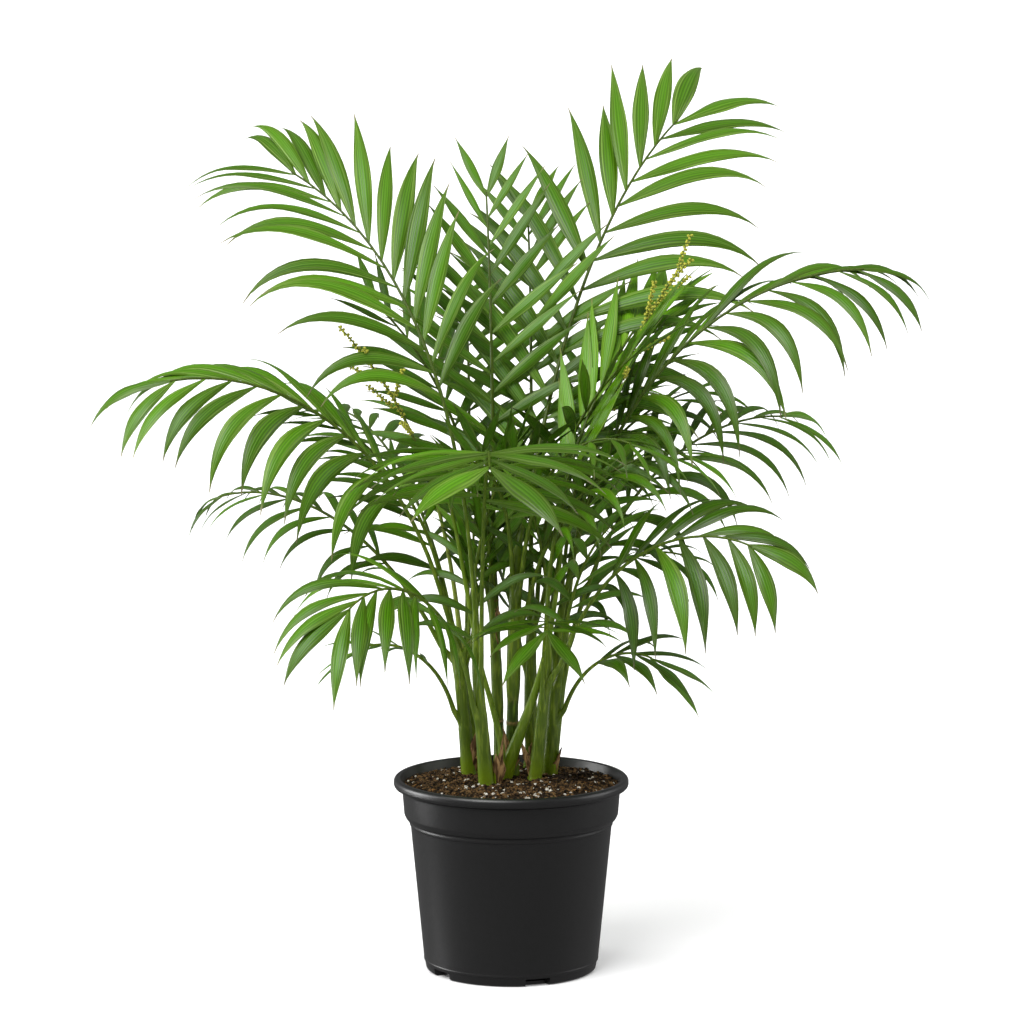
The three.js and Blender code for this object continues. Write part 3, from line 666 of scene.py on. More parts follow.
stemTones = {  # upper part, part near the compost, streaks and scars
    "caneGreen": ("#324804", "#6a8210", "#668218", "#8a7440"),
    "stalkGreen": ("#485e0a", "#6a8210", "#6c801e", "#7a6a3a"),
    "shootGreen": ("#5a7410", "#7d9414", "#7a8e30", "#7a6a3a"),
    "flowerStalk": ("#7f8f34", "#8a8a2c", "#9aa54a", "#8a7a4a"),
}
stemLook = {"paleUpTo": 30.0, "dullFrom": 110.0, "dullAt": 300.0, "dullShare": 0.6, "dull": "#283a06",
            "scarDark": "#5b4a26", "grain": 2.2, "streakLength": 9.0, "depth": 0.25}


def stemMaterial(name):  # yellow-green near the compost, dull above, with long streaks and pale scars
    upper, lower, streak, scarTone = [tone(code) for code in stemTones[name]]
    material, tree, sockets = newMaterial(name, specular=0.28, roughness=0.36)
    height = reading(tree, "height")
    spots = placed(tree, "speckle", Light=streak, Dark=upper, Size=stemLook["grain"],
                   Stretch=stemLook["streakLength"], Low=0.45, High=0.75)
    color = blendColours(tree, ramp(tree, height, stemLook["paleUpTo"], 0.0), spots["Color"], lower)
    dullness = ramp(tree, height, stemLook["dullFrom"], stemLook["dullAt"], 0.0, stemLook["dullShare"])
    color = blendColours(tree, dullness, color, tone(stemLook["dull"]))
    patches = placed(tree, "speckle", Light=scarTone, Dark=tone(stemLook["scarDark"]), Size=3.0, Stretch=0.6)
    color = blendColours(tree, reading(tree, "scar"), color, patches["Color"])
    tree.links.new(color, sockets["Base Color"])
    addRelief(tree, sockets, spots["Height"], stemLook["depth"])
    return material


# Geometry trees

bladeForm = {"sides": 8, "foldFade": (0.0, 0.7, 1.7, 0.7), "waves": 15.0, "shuffle": 40.0}


def newShapeTree(name, **inputs):  # with inputs of its own between the shape and the material
    sockets = {"Geometry": ("Geometry", None), **inputs, "Material": ("Material", None)}
    return newTree(name, "GeometryNodeTree", sockets, {"Geometry": ("Geometry", None)})


def endTree(tree, given, result, shape):
    shape = made(tree, "GeometryNodeRealizeInstances", {"Geometry": shape})
    shape = made(tree, "GeometryNodeSetShadeSmooth", {"Geometry": shape})
    shape = made(tree, "GeometryNodeSetMaterial", {"Geometry": shape, "Material": given["Material"]})
    tree.links.new(shape, result["Geometry"])
    return tree


def ring(tree, sides):
    return made(tree, "GeometryNodeCurvePrimitiveCircle", {"Resolution": sides, "Radius": 1.0})


def sweep(tree, curve, profile, size):  # a closed tube, with its size at every point of the curve
    return made(tree, "GeometryNodeCurveToMesh", {"Curve": curve, "Profile Curve": profile, "Scale": size,
                "Fill Caps": True})


def bladeTree():  # a leaflet over each path: a thin lens in section, folded along its middle
    tree, given, result = newShapeTree("leafletBlade", Fold=("Float", 0.3), Thickness=("Float", 0.07),
                                       Ripple=("Float", 0.06))
    curve = made(tree, "GeometryNodeMeshToCurve", {"Mesh": given["Geometry"]})
    curve = made(tree, "GeometryNodeSetCurveNormal", {"Curve": curve,
                 "Normal": field(tree, "sideWay", "FLOAT_VECTOR")}, mode="FREE")
    place = add(tree, "ShaderNodeSeparateXYZ", {0: made(tree, "GeometryNodeInputPosition")}).outputs
    circle = made(tree, "GeometryNodeStoreNamedAttribute", {"Geometry": ring(tree, bladeForm["sides"]),
                  "Name": "across", "Value": place[0]}, data_type="FLOAT", domain="POINT")
    lens = combined(tree, place[0], calc(tree, "MULTIPLY", place[1], given["Thickness"]))
    profile = made(tree, "GeometryNodeSetPosition", {"Geometry": circle, "Position": lens})
    half = field(tree, "halfWidth")
    mesh = sweep(tree, curve, profile, half)
    across, along, leafTone = [field(tree, name) for name in ("across", "along", "leafTone")]
    steep = calc(tree, "MULTIPLY", given["Fold"], ramp(tree, along, *bladeForm["foldFade"]))
    fold = calc(tree, "MULTIPLY", steep, calc(tree, "ABSOLUTE", across))
    start = calc(tree, "MULTIPLY", leafTone, bladeForm["shuffle"])
    swing = calc(tree, "SINE", calc(tree, "MULTIPLY_ADD", along, bladeForm["waves"], start))
    ripple = calc(tree, "MULTIPLY", calc(tree, "MULTIPLY", swing, across), given["Ripple"])
    drop = calc(tree, "MULTIPLY", calc(tree, "SUBTRACT", ripple, fold), half)
    offset = vectorCalc(tree, "SCALE", field(tree, "overWay", "FLOAT_VECTOR"), drop)
    mesh = made(tree, "GeometryNodeSetPosition", {"Geometry": mesh, "Offset": offset})
    return endTree(tree, given, result, mesh)


def tubeTree():  # a round tube over each path
    tree, given, result = newShapeTree("stalkTube", Sides=("Int", 10), Refine=("Int", 2))
    curve = made(tree, "GeometryNodeMeshToCurve", {"Mesh": given["Geometry"]})
    curve = made(tree, "GeometryNodeCurveSplineType", {"Curve": curve}, spline_type="CATMULL_ROM")
    curve = made(tree, "GeometryNodeSetSplineResolution", {"Geometry": curve, "Resolution": given["Refine"]})
    mesh = sweep(tree, curve, ring(tree, given["Sides"]), field(tree, "radius"))
    return endTree(tree, given, result, mesh)


def lumpsOn(tree, given, points, turn, scale):  # one rough lump on every point
    ball = made(tree, "GeometryNodeMeshIcoSphere", {"Radius": 1.0, "Subdivisions": 1})
    push = add(tree, "ShaderNodeTexNoise", {"Scale": 1.3, "Detail": 1.0}).outputs["Color"]
    push = vectorCalc(tree, "SUBTRACT", push, (0.5, 0.5, 0.5))
    push = vectorCalc(tree, "SCALE", push, given["Rough"])
    ball = made(tree, "GeometryNodeSetPosition", {"Geometry": ball, "Offset": push})
    return made(tree, "GeometryNodeInstanceOnPoints", {"Points": points, "Instance": ball, "Rotation": turn,
                "Scale": scale})


def scatterTree():  # rough grains lying on a surface
    tree, given, result = newShapeTree(
        "scatteredGrains", Density=("Float", 1000.0), Seed=("Int", 1), Small=("Float", 0.5),
        Large=("Float", 1.5), Flatness=("Float", 0.8), Long=("Float", 1.0), Rough=("Float", 0.5),
        Tilt=("Float", 0.6))
    points = made(tree, "GeometryNodeDistributePointsOnFaces", {"Mesh": given["Geometry"],
                  "Density": given["Density"], "Seed": given["Seed"]})
    size = add(tree, "FunctionNodeRandomValue", {2: given["Small"], 3: given["Large"],
               "Seed": given["Seed"]}, data_type="FLOAT").outputs[1]
    scale = combined(tree, calc(tree, "MULTIPLY", size, given["Long"]), size,
                     calc(tree, "MULTIPLY", size, given["Flatness"]))
    tilt = given["Tilt"]
    negative = calc(tree, "MULTIPLY", tilt, -1.0)
    low = combined(tree, negative, negative)
    high = combined(tree, tilt, tilt, 6.283)  # any turn, with a tilt up to the one given
    turn = made(tree, "FunctionNodeRandomValue", {0: low, 1: high, "Seed": given["Seed"]},
                data_type="FLOAT_VECTOR")
    return endTree(tree, given, result, lumpsOn(tree, given, points, turn, scale))


def budTree():  # a bud on every point
    tree, given, result = newShapeTree("flowerBuds", Rough=("Float", 0.2))
    turn = made(tree, "FunctionNodeAlignRotationToVector", {"Vector": field(tree, "outward", "FLOAT_VECTOR")},
                axis="Z")
    size = field(tree, "size")
    scale = combined(tree, size, size, calc(tree, "MULTIPLY", size, 1.2))  # a little longer than wide
    return endTree(tree, given, result, lumpsOn(tree, given, given["Geometry"], turn, scale))


trees = {"blade": bladeTree(), "tube": tubeTree(), "scatter": scatterTree(), "bud": budTree()}


# Camera, light and floor

view = {"at": (0.7, -3500, 873), "pitch": 82.5, "lens": 140.1, "sensor": 36, "clipEnd": 1000}
suns = {
    "key": {"from": (-0.58, -0.78, 1.05), "strength": 2.9, "angle": 42, "glossy": True},
    "top": {"from": (0.1, 0, 1), "strength": 2.5, "angle": 100, "glossy": False},
    "left": {"from": (-1, 0.24, 0.1), "strength": 2.6, "angle": 34, "glossy": True},
    "right": {"from": (1, 0.1, 0.25), "strength": 0.8, "angle": 40, "glossy": True},
}
room = {"sky": 0.2, "backdrop": 1.1, "floor": 250, "floorTone": "#eeeeee", "floorGlow": 0.1}


def softSky():  # a dim sky for the light, seen as plain white paper
    world = bpy.data.worlds.new("studio")
    world.use_nodes = True
    sky = world.node_tree.nodes["Background"].inputs
    sky["Color"].default_value = (1, 1, 1, 1)
    seen = add(world.node_tree, "ShaderNodeLightPath").outputs["Is Camera Ray"]
    paper = calc(world.node_tree, "MULTIPLY_ADD", seen, room["backdrop"] - room["sky"], room["sky"])
    world.node_tree.links.new(paper, sky["Strength"])
    return world


def setUpCamera():
    lens = bpy.data.cameras.new("camera")
    lens.lens = view["lens"]
    lens.sensor_width = view["sensor"]
    lens.clip_end = view["clipEnd"]
    camera = newPiece("camera", lens)
    camera.location = Vector(view["at"]) * mm
    camera.rotation_euler = (math.radians(view["pitch"]), 0, 0)
    return camera


def setUpSuns():
    for name, sun in suns.items():
        light = bpy.data.lights.new(name, "SUN")
        light.energy = sun["strength"]
        light.angle = math.radians(sun["angle"])
        holder = newPiece(name, light)
        holder.rotation_euler = Vector(sun["from"]).to_track_quat("Z", "Y").to_euler()
        holder.visible_glossy = sun["glossy"]


def layFloor():
    half = room["floor"]
    mesh = bpy.data.meshes.new("floor")
    corners = [(-half, -half, 0), (half, -half, 0), (half, half, 0), (-half, half, 0)]
    mesh.from_pydata(corners, [], [(0, 1, 2, 3)])
    material, tree, sockets = newMaterial("floor", specular=0.1, roughness=0.9)
    sockets["Base Color"].default_value = tone(room["floorTone"])
    sockets["Emission Color"].default_value = (1, 1, 1, 1)
    sockets["Emission Strength"].default_value = room["floorGlow"]
    mesh.materials.append(material)
    floor = newPiece("floor", mesh)
    floor.visible_glossy = False


scene = bpy.context.scene
scene.camera = setUpCamera()
scene.view_settings.view_transform = "Standard"
scene.world = softSky()
setUpSuns()
layFloor()
print("stage studio")

# Pot

pot = {  # corners as radius, height and rounding, up the outside and down the inside
    "outside": [(0, 0, 0), (74, 0, 0.7), (76.4, 1.6, 0.8), (77.6, 8.2, 0.2), (78.3, 8.8, 0.3),
                (78.4, 10.2, 0.2), (78.3, 10.9, 0.2), (90, 131, 0.2), (90.9, 131.7, 0.4), (91.1, 133.3, 0.4),
                (90.9, 135.4, 0.8), (93.8, 137.2, 1), (95.7, 141, 1.2), (97.3, 161.4, 0.8), (97.5, 163.2, 1),
                (104, 165.8, 0.6), (105, 167.4, 1), (105, 172, 1.6), (103, 174, 0.9), (99.2, 174, 0.8)],
    "inside": [(95.3, 163, 1.5), (93.5, 142, 1.5), (88.1, 132.5, 1), (75.8, 10, 2), (70, 3, 2), (0, 3, 0)],
    "sides": 128, "arcs": 4, "sharpFrom": 38,
}
drains = {"count": 5, "first": 288, "angle": 17, "height": 7, "radius": 78.3, "depth": 10, "arcs": 8}


def roundCorners(corners, steps):
    profile = []
    for i, (x, z, size) in enumerate(corners):
        here = Vector((x, z))
        if not size:
            profile.append(here)
            continue
        before, after = [here.lerp(other, size / (here - other).length)
                         for other in (Vector(corners[i - 1][:2]), Vector(corners[i + 1][:2]))]
        for k in range(steps + 1):
            t = k / steps
            profile.append(before.lerp(here, t).lerp(here.lerp(after, t), t))
    return profile


def spin(name, profile, sides):  # a closed turned body: the profile starts and ends on the axis
    form = bmesh.new()
    rings = []
    for x, z in profile:
        angles = [2 * math.pi * k / sides for k in range(sides)] if x > 0 else [0]
        rings.append([form.verts.new((x * mm * math.cos(a), x * mm * math.sin(a), z * mm)) for a in angles])
    for low, high in zip(rings, rings[1:]):
        for k in range(sides):
            corners = [low[k % len(low)], low[(k + 1) % len(low)],
                       high[(k + 1) % len(high)], high[k % len(high)]]
            form.faces.new(list(dict.fromkeys(corners)))
    bmesh.ops.recalc_face_normals(form, faces=form.faces)
    return meshFrom(form, name)


def drainCutter():
    form = bmesh.new()
    inner = drains["radius"] - drains["depth"]
    outer = drains["radius"] + drains["depth"]
    section = ((inner, -1), (outer, -1), (outer, drains["height"]), (inner, drains["height"]))
    for index in range(drains["count"]):
        middle = math.radians(drains["first"] + 360 / drains["count"] * index)
        half = math.radians(drains["angle"] / 2)
        rows = []
        for k in range(drains["arcs"] + 1):
            a = middle - half + 2 * half * k / drains["arcs"]
            rows.append([form.verts.new((r * mm * math.cos(a), r * mm * math.sin(a), z * mm))
                         for r, z in section])
        for one, two in zip(rows, rows[1:]):
            for k in range(len(section)):
                after = (k + 1) % len(section)
                form.faces.new((one[k], one[after], two[after], two[k]))
        form.faces.new(rows[0])
        form.faces.new(rows[-1])
    bmesh.ops.recalc_face_normals(form, faces=form.faces)
    return newPiece("drainCutter", meshFrom(form, "drainCutter"))


def buildPot():
    profile = roundCorners(pot["outside"] + pot["inside"], pot["arcs"])
    piece = newPiece("potShell", spin("potShell", profile, pot["sides"]))
    cutter = drainCutter()
    modifier = piece.modifiers.new("drains", "BOOLEAN")
    modifier.object = cutter
    modifier.operation = "DIFFERENCE"
    bakePiece(piece)
    bpy.data.objects.remove(cutter)
    piece.data.shade_smooth()
    piece.data.set_sharp_from_angle(angle=math.radians(pot["sharpFrom"]))
    plastic = speckledMaterial("potPlastic", "#0b0b0c", "#070707", size=1.4, depth=0.05, specular=0.8,
                               roughness=0.4)
    piece.data.materials.append(plastic)
    finishPiece(piece, ["pot"])


buildPot()

# Compost

compost = {"rings": 58, "spokes": 180, "footShare": 0.975,
           "hollow": (60, 14, 21, 8),  # x, y, radius and depth
           "waves": ((15, 1.4), (5.5, 0.9), (2.2, 0.5))}  # size and height of each
litter = {  # density for each square metre, sizes in millimetres
    "crumbs": {"Density": 90000, "Seed": 3, "Small": 0.45, "Large": 2.0, "Flatness": 0.7, "Long": 1.35,
               "Rough": 1.1, "Tilt": 0.8, "light": "#6b5232", "dark": "#1a1208", "grain": 5.0},
    "clods": {"Density": 11000, "Seed": 5, "Small": 1.6, "Large": 3.0, "Flatness": 0.55, "Long": 1.3,
              "Rough": 1.1, "Tilt": 0.5, "light": "#523c22", "dark": "#1c130a", "grain": 3.0},
    "barkChips": {"Density": 4600, "Seed": 8, "Small": 1.2, "Large": 2.6, "Flatness": 0.25, "Long": 2.6,
                  "Rough": 0.7, "Tilt": 0.4, "light": "#866034", "dark": "#36230f", "grain": 2.4},
    "perlite": {"Density": 7600, "Seed": 12, "Small": 0.6, "Large": 2.3, "Flatness": 0.8, "Long": 1.1,
                "Rough": 0.8, "Tilt": 0.8, "light": "#e4e0d6", "dark": "#9f9888", "grain": 1.6},
}


def soilHeight(x, y):
    height = lerp(soil["top"], soil["edge"], smoothStep(soil["crown"], soil["radius"], math.hypot(x, y)))
    for size, depth in compost["waves"]:
        height += depth * noise.noise(Vector((x / size, y / size, size)))
    hx, hy, wide, deep = compost["hollow"]
    return height - deep * smoothStep(wide, 0, math.hypot(x - hx, y - hy))


def compostMesh(name, closed):
    form = bmesh.new()
    middle = form.verts.new((0, 0, soilHeight(0, 0) * mm))
    rings = []
    radii = [soil["radius"] * (i + 1) / compost["rings"] for i in range(compost["rings"])]
    for radius in radii:
        ring = []
        for k in range(compost["spokes"]):
            a = 2 * math.pi * k / compost["spokes"]
            x, y = radius * math.cos(a), radius * math.sin(a)
            ring.append(form.verts.new(Vector((x, y, soilHeight(x, y))) * mm))
        rings.append(ring)
    if closed:
        share = compost["footShare"]
        rings.append([form.verts.new((v.co.x * share, v.co.y * share, soil["foot"] * mm)) for v in rings[-1]])
    count = compost["spokes"]
    for k in range(count):
        form.faces.new((middle, rings[0][k], rings[0][(k + 1) % count]))
    for low, high in zip(rings, rings[1:]):
        for k in range(count):
            form.faces.new((low[k], high[k], high[(k + 1) % count], low[(k + 1) % count]))
    if closed:
        form.faces.new(list(reversed(rings[-1])))
    bmesh.ops.recalc_face_normals(form, faces=form.faces)
    if not closed and form.faces[0].normal.z < 0:
        bmesh.ops.reverse_faces(form, faces=form.faces)
    return meshFrom(form, name)


def buildCompost():
    bed = newPiece("compostBed", compostMesh("compostBed", True))
    bed.data.shade_smooth()
    peat = speckledMaterial("peat", "#30220f", "#0e0804", size=2.6, depth=0.9, specular=0.2, roughness=0.95)
    bed.data.materials.append(peat)
    finishPiece(bed, ["soil"])
    for name, sort in litter.items():
        grains = newPiece(name, compostMesh(name, False))
        material = speckledMaterial(name, sort["light"], sort["dark"], size=sort["grain"], depth=0.4,
                                    specular=0.2, roughness=0.9)
        settings = {key: value for key, value in sort.items() if key[0].isupper()}
        for key in ("Small", "Large"):
            settings[key] *= mm
        shapePiece(grains, trees["scatter"], Material=material, **settings)
        finishPiece(grains)


buildCompost()
print("stage pot and compost")

# Canes, stalks and ribs

tubes = {  # sides, and how often each path is refined
    "canes": (14, 1), "stalks": (10, 2), "shoots": (12, 4), "looseRoots": (6, 2), "flowerTwigs": (8, 2),
}
caneLook = {"step": 1.5, "below": 6, "firstScar": (34, 54), "scarGap": (34, 52),
            "ringWidth": 1.3, "ringRise": 0.45}
sheath = {"length": 62, "wrap": 0.35, "rank": 0.35, "steps": 8, "leave": 0.13, "sunkFoot": -0.3,
          "settled": 0.4, "nearSoil": 16, "below": 5, "scar": 0.7, "scarLength": 0.2, "thinning": 0.7}


def makeTubes(name, paths, material):
    piece = newPiece(name, pathMesh(name, paths))
    sides, refine = tubes[name]
    return shapePiece(piece, trees["tube"], Sides=sides, Refine=refine, Material=material)


def caneStations(cane):
    head = cane["head"][2]
    scars = list(cane.get("scars", ()))
    if not scars:
        scars.append(soil["top"] + rng.uniform(*caneLook["firstScar"]))
    while scars[-1] < head - caneLook["scarGap"][1]:
        scars.append(scars[-1] + rng.uniform(*caneLook["scarGap"]))
    stations = []
    count = int((head - soil["top"] + caneLook["below"]) / caneLook["step"])
    for i in range(count + 1):
        z = lerp(soil["top"] - caneLook["below"], head, i / count)
        near = max(math.exp(-((z - s) / caneLook["ringWidth"])**2) for s in scars)
        stations.append({
            "point": caneAxis(cane, z),
            "radius": (caneGirth(cane, z) + caneLook["ringRise"] * near) * mm,
            "height": z - soil["top"],
            "scar": near,
        })
    return stations


def stalkRank(stalk):  # how many sheaths on the same cane leave it above this one
    top = stalk.get("at", math.inf)
    every = [*fronds.values(), *fillers.values(), *flowers.values()]
    return sum(1 for other in every if other["cane"] == stalk["cane"] and other.get("at", math.inf) > top)


def sheathedStalk(stalk, path):  # wraps its cane at first, then parts from it and follows its own path
    cane = canes[stalk["cane"]]
    top = stalk.get("at", cane["head"][2])
    wrap = sheath["wrap"] + sheath["rank"] * stalkRank(stalk)
    stations = []
    low = top - sheath["length"]
    if low < soil["top"] + sheath["nearSoil"]:
        low = soil["top"] - sheath["below"]
    for i in range(sheath["steps"]):
        t = i / sheath["steps"]
        z = lerp(low, top, t)
        radius = caneGirth(cane, z) + lerp(sheath["sunkFoot"], wrap, smoothStep(0, sheath["settled"], t))
        stations.append({"point": caneAxis(cane, z), "radius": radius * mm, "height": z - soil["top"],
                         "scar": smoothStep(sheath["scarLength"], 0, t) * sheath["scar"]})
    count = rib["steps"] * 2
    for i in range(count + 1):
        s = i / count
        here = alongPath(path, s)["point"]
        away = smoothStep(0, sheath["leave"], s)
        axis = caneAxis(cane, top + s * stalk["length"])
        radius = lerp(caneGirth(cane, top) + wrap, ribRadius(s), away**sheath["thinning"])
        stations.append({"point": axis.lerp(here, away), "radius": radius * mm,
                         "height": here.z - soil["top"], "scar": 0.0})
    return stations


def buildStems(grown):
    paths = [caneStations(cane) for cane in canes.values()]
    piece = makeTubes("canes", paths, stemMaterial("caneGreen"))
    finishPiece(piece, ["cane_" + name for name in canes])
    paths = [sheathedStalk(each["frond"], each["path"]) for each in grown.values()]
    piece = makeTubes("stalks", paths, stemMaterial("stalkGreen"))
    finishPiece(piece, ["frond_" + name for name in fronds])


# Sheaths from the foot, dry husks and loose roots

husks = [  # scraps of old sheath, on a cane or from the compost
    {"cane": "a", "at": 176, "heading": -52, "lean": 9, "length": 38, "width": 9},
    {"cane": "a", "at": 172, "heading": -25, "lean": 16, "length": 24, "width": 8},
    {"cane": "b", "at": 172, "heading": 20, "lean": 12, "length": 22, "width": 8},
    {"cane": "b", "at": 174, "heading": 75, "lean": 5, "length": 30, "width": 9},
    {"cane": "c", "at": 176, "heading": -120, "lean": 11, "length": 42, "width": 10},
    {"cane": "c", "at": 173, "heading": -75, "lean": 24, "length": 26, "width": 8},
    {"cane": "c", "at": 186, "heading": -20, "lean": 12, "length": 26, "width": 9},
    {"cane": "d", "at": 172, "heading": 150, "lean": 14, "length": 34, "width": 8},
    {"cane": "d", "at": 174, "heading": 195, "lean": 10, "length": 22, "width": 8},
    {"cane": "d", "at": 212, "heading": -80, "lean": 2, "length": 13, "width": 8},
    {"cane": "e", "at": 172, "heading": -35, "lean": 14, "length": 26, "width": 8},
    {"cane": "f", "at": 262, "heading": -95, "lean": 3, "length": 34, "width": 9},
    {"cane": "f", "at": 292, "heading": -70, "lean": 4, "length": 28, "width": 8},
    {"cane": "g", "at": 174, "heading": -60, "lean": 12, "length": 30, "width": 9},
    {"cane": "h", "at": 174, "heading": 120, "lean": 12, "length": 30, "width": 9},
    {"cane": "k", "at": 174, "heading": 60, "lean": 12, "length": 28, "width": 9},
    {"foot": (-13, -16, 168), "heading": -115, "lean": 3, "length": 30, "width": 10},
    {"foot": (-9, -15, 168), "heading": -60, "lean": 7, "length": 25, "width": 9},
    {"foot": (-8, -12, 172), "heading": -30, "lean": 2, "length": 46, "width": 9},
]
huskRule = {"off": 0.3, "sag": 0.2, "hook": 0.4, "turn": 60}
roots = {"middle": (60, 16), "spread": 18, "count": 26, "length": 30, "radius": 0.85, "taper": 0.5,
         "steps": 7, "wander": 0.8, "arch": 2.4, "archShare": (0.4, 1), "fromWall": 3}


def huskLine(husk):
    turn = math.radians(husk["heading"])
    lean = math.radians(husk["lean"])
    out = Vector((math.cos(turn), math.sin(turn), 0))
    up = Vector((0, 0, 1))
    if "foot" in husk:
        root = Vector(husk["foot"])
    else:
        cane = canes[husk["cane"]]
        root = caneAxis(cane, husk["at"]) + out * (caneGirth(cane, husk["at"]) + huskRule["off"])
    scrap = {**husk, "wide": 1, "sag": huskRule["sag"], "hook": huskRule["hook"],
             "turn": rng.uniform(-huskRule["turn"], huskRule["turn"]), "leafTone": rng.random()}
    way = up * math.cos(lean) + out * math.sin(lean)
    over = out * math.cos(lean) - up * math.sin(lean)
    return leafLine(root, way, over, scrap)


def rootLine():  # a loose root wandering over the compost
    turn = rng.uniform(0, 2 * math.pi)
    way = rng.uniform(0, 2 * math.pi)
    far = roots["spread"] * rng.random()**0.5
    x = roots["middle"][0] + far * math.cos(turn)
    y = roots["middle"][1] + far * math.sin(turn)
    line = []
    for k in range(roots["steps"] + 1):
        t = k / roots["steps"]
        rise = roots["radius"] + roots["arch"] * math.sin(math.pi * t) * rng.uniform(*roots["archShare"])
        reach = min(math.hypot(x, y), soil["radius"] - roots["fromWall"]) / math.hypot(x, y)
        point = Vector((x * reach, y * reach, soilHeight(x * reach, y * reach) + rise))
        line.append({"point": point, "radius": roots["radius"] * lerp(1, roots["taper"], t) * mm})
        way += rng.uniform(-1, 1) * roots["wander"]
        x += math.cos(way) * roots["length"] / roots["steps"]
        y += math.sin(way) * roots["length"] / roots["steps"]
    return line


def shootLine(shoot):
    return [{"point": Vector((x, y, z)), "radius": radius * mm, "height": z - soil["top"], "scar": 0.0}
            for x, y, z, radius in shoot]


def buildFoot():
    piece = makeTubes("shoots", [shootLine(shoot) for shoot in shoots], stemMaterial("shootGreen"))
    finishPiece(piece)
    papery = speckledMaterial("drySheath", "#a58458", "#503a20", size=3.0, depth=0.3, stretch=4.0,
                              specular=0.2, roughness=0.8)
    piece = newPiece("dryHusks", pathMesh("dryHusks", [huskLine(husk) for husk in husks]))
    shapePiece(piece, trees["blade"], Fold=0.9, Thickness=0.06, Ripple=0.2, Material=papery)
    finishPiece(piece)
    rootTone = speckledMaterial("looseRoot", "#2c1e10", "#0f0904", size=2.0, depth=0.1, specular=0.2,
                                roughness=0.8)
    piece = makeTubes("looseRoots", [rootLine() for k in range(roots["count"])], rootTone)
    finishPiece(piece)


# Leaves

# one piece for each tint; sunlit, mid and deep hold painted light, half shade and shade
leafPieces = {"sunlit": "leavesSunlit", "mid": "leavesHalfShaded", "deep": "leavesShaded", "young": "leavesYoung"}
nearTint = {"sunlit": "mid", "mid": "deep", "deep": "mid", "young": "young"}
strays = {"share": 0.16, "shuffle": 7.3}  # leaflets in the tint nearest to their frond's own
sharpFrom = 60


def buildLeaves(grown):
    for tint, title in leafPieces.items():
        lines = []
        owners = []
        for name, each in grown.items():
            own = each["frond"]["tint"]
            for line in each["leaves"]:
                stray = (line[0]["leafTone"] * strays["shuffle"]) % 1 < strays["share"]
                if (nearTint[own] if stray else own) == tint:
                    lines.append(line)
                    owners.append("frond_" + name)
        piece = newPiece(title, pathMesh(title, lines))
        shapePiece(piece, trees["blade"], Material=leafMaterial(tint))
        piece.data.set_sharp_from_angle(angle=math.radians(sharpFrom))
        ownNodes = [node for node in dict.fromkeys(owners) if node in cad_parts]
        finishPiece(piece, ownNodes)


# Flower heads

sprigRule = {"radius": 0.75, "taper": 0.6, "shorten": 0.45, "tilt": 0.4, "reach": 0.97, "firstBud": 0.14,
             "steps": 6, "droop": 4}
budRule = {"pitch": 1.5, "off": 0.7, "size": (1.05, 1.6), "spikeShare": 0.8, "spikeSteps": 8,
           "spacing": (0.8, 1.2), "turn": 137.5, "bareTip": 0.5}


def sprigPath(head, path, index):
    u = index / (head["sprigs"] - 1)
    here = alongPath(path, lerp(head["bare"], sprigRule["reach"], u))
    opening = math.radians(lerp(*head["open"], u))
    hand = -1 if index % 2 == 0 else 1
    out = (here["side"] * hand + here["face"] * sprigRule["tilt"] * (index % 3 - 1)).normalized()
    way = here["ahead"] * math.cos(opening) + out * math.sin(opening)
    length = head["sprig"] * (1 - sprigRule["shorten"] * u)
    return [here["point"] + way * length * t - Vector((0, 0, sprigRule["droop"] * t * t))
            for t in [k / sprigRule["steps"] for k in range(sprigRule["steps"] + 1)]]


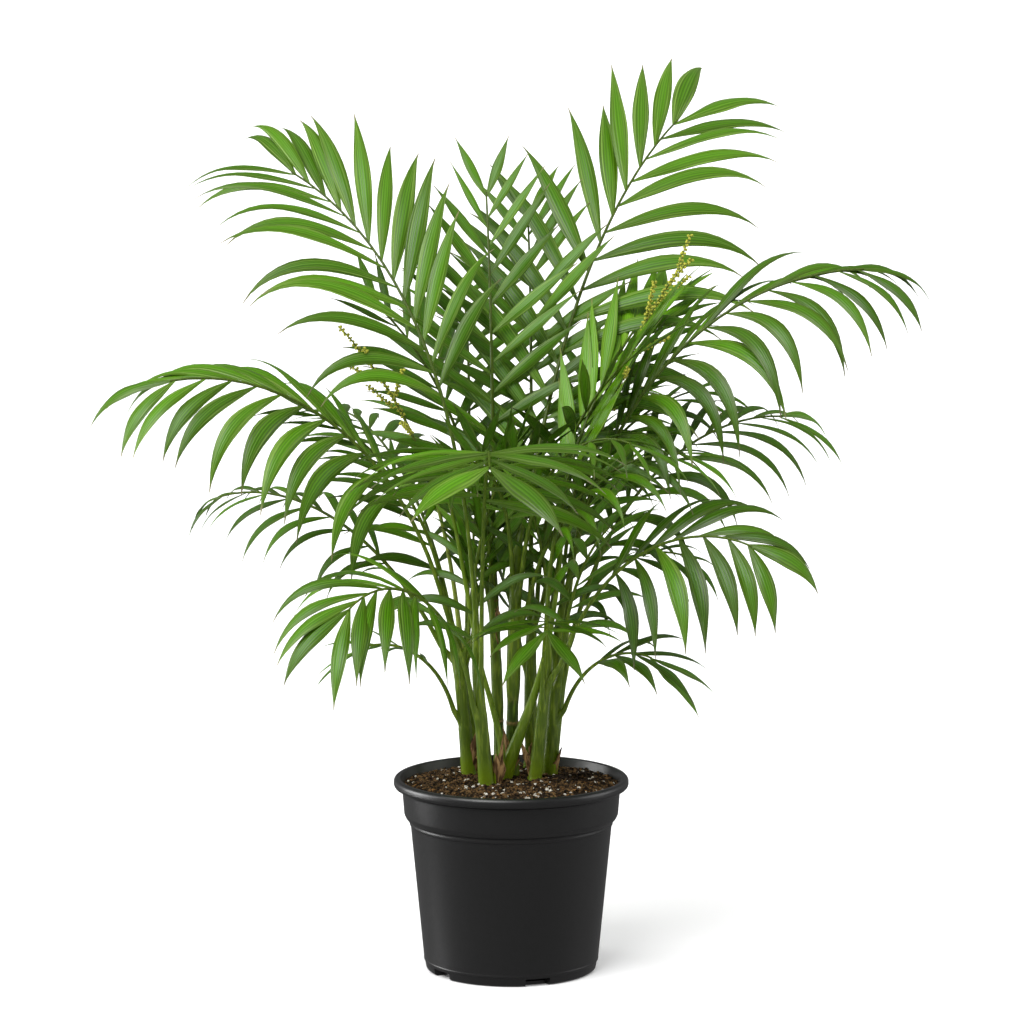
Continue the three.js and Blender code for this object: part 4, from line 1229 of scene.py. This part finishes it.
def budsAlong(line, first):  # a spiral of buds from one share of a twig's length to its tip
    lengths = [(b - a).length for a, b in zip(line, line[1:])]
    whole = sum(lengths)
    buds = []
    far = first * whole
    turn = rng.uniform(0, 360)
    while far < whole - budRule["bareTip"]:
        i = 0
        rest = far
        while i < len(lengths) - 1 and rest > lengths[i]:
            rest -= lengths[i]
            i += 1
        ahead = (line[i + 1] - line[i]).normalized()
        out = ahead.orthogonal().normalized()
        out.rotate(Quaternion(ahead, math.radians(turn)))
        size = rng.uniform(*budRule["size"])
        buds.append({"point": line[i] + ahead * rest + out * (budRule["off"] + size * 0.5), "outward": out,
                     "size": size * mm})
        far += budRule["pitch"] * rng.uniform(*budRule["spacing"])
        turn += budRule["turn"]
    return buds


def twigLine(line):
    count = len(line) - 1
    return [{"point": point, "radius": sprigRule["radius"] * lerp(1, sprigRule["taper"], k / count) * mm,
             "height": point.z - soil["top"], "scar": 0.0} for k, point in enumerate(line)]


def buildFlowers():
    budTone = speckledMaterial("budTone", "#b2b23c", "#6c7420", size=1.2, depth=0.2, spread=(0.35, 0.55),
                               specular=0.35, roughness=0.6)
    twigs = []
    buds = []
    for head in flowers.values():
        path = stalkPath(head)
        twigs.append(sheathedStalk(head, path))
        spike = 1 - (1 - head["bare"]) * budRule["spikeShare"]
        count = budRule["spikeSteps"]
        top = [alongPath(path, lerp(spike, 1, k / count))["point"] for k in range(count + 1)]
        buds += budsAlong(top, 0)
        for index in range(head["sprigs"]):
            line = sprigPath(head, path, index)
            twigs.append(twigLine(line))
            buds += budsAlong(line, sprigRule["firstBud"])
    nodes = ["flowers_" + name for name in flowers]
    piece = makeTubes("flowerTwigs", twigs, stemMaterial("flowerStalk"))
    finishPiece(piece, nodes)
    piece = newPiece("flowerBuds", pathMesh("flowerBuds", [[bud] for bud in buds]))
    shapePiece(piece, trees["bud"], Material=budTone)
    finishPiece(piece, nodes)


grown = growCrown()
buildStems(grown)
buildFoot()
buildLeaves(grown)
print("stage stems and leaves")
buildFlowers()
print("stage flowers")
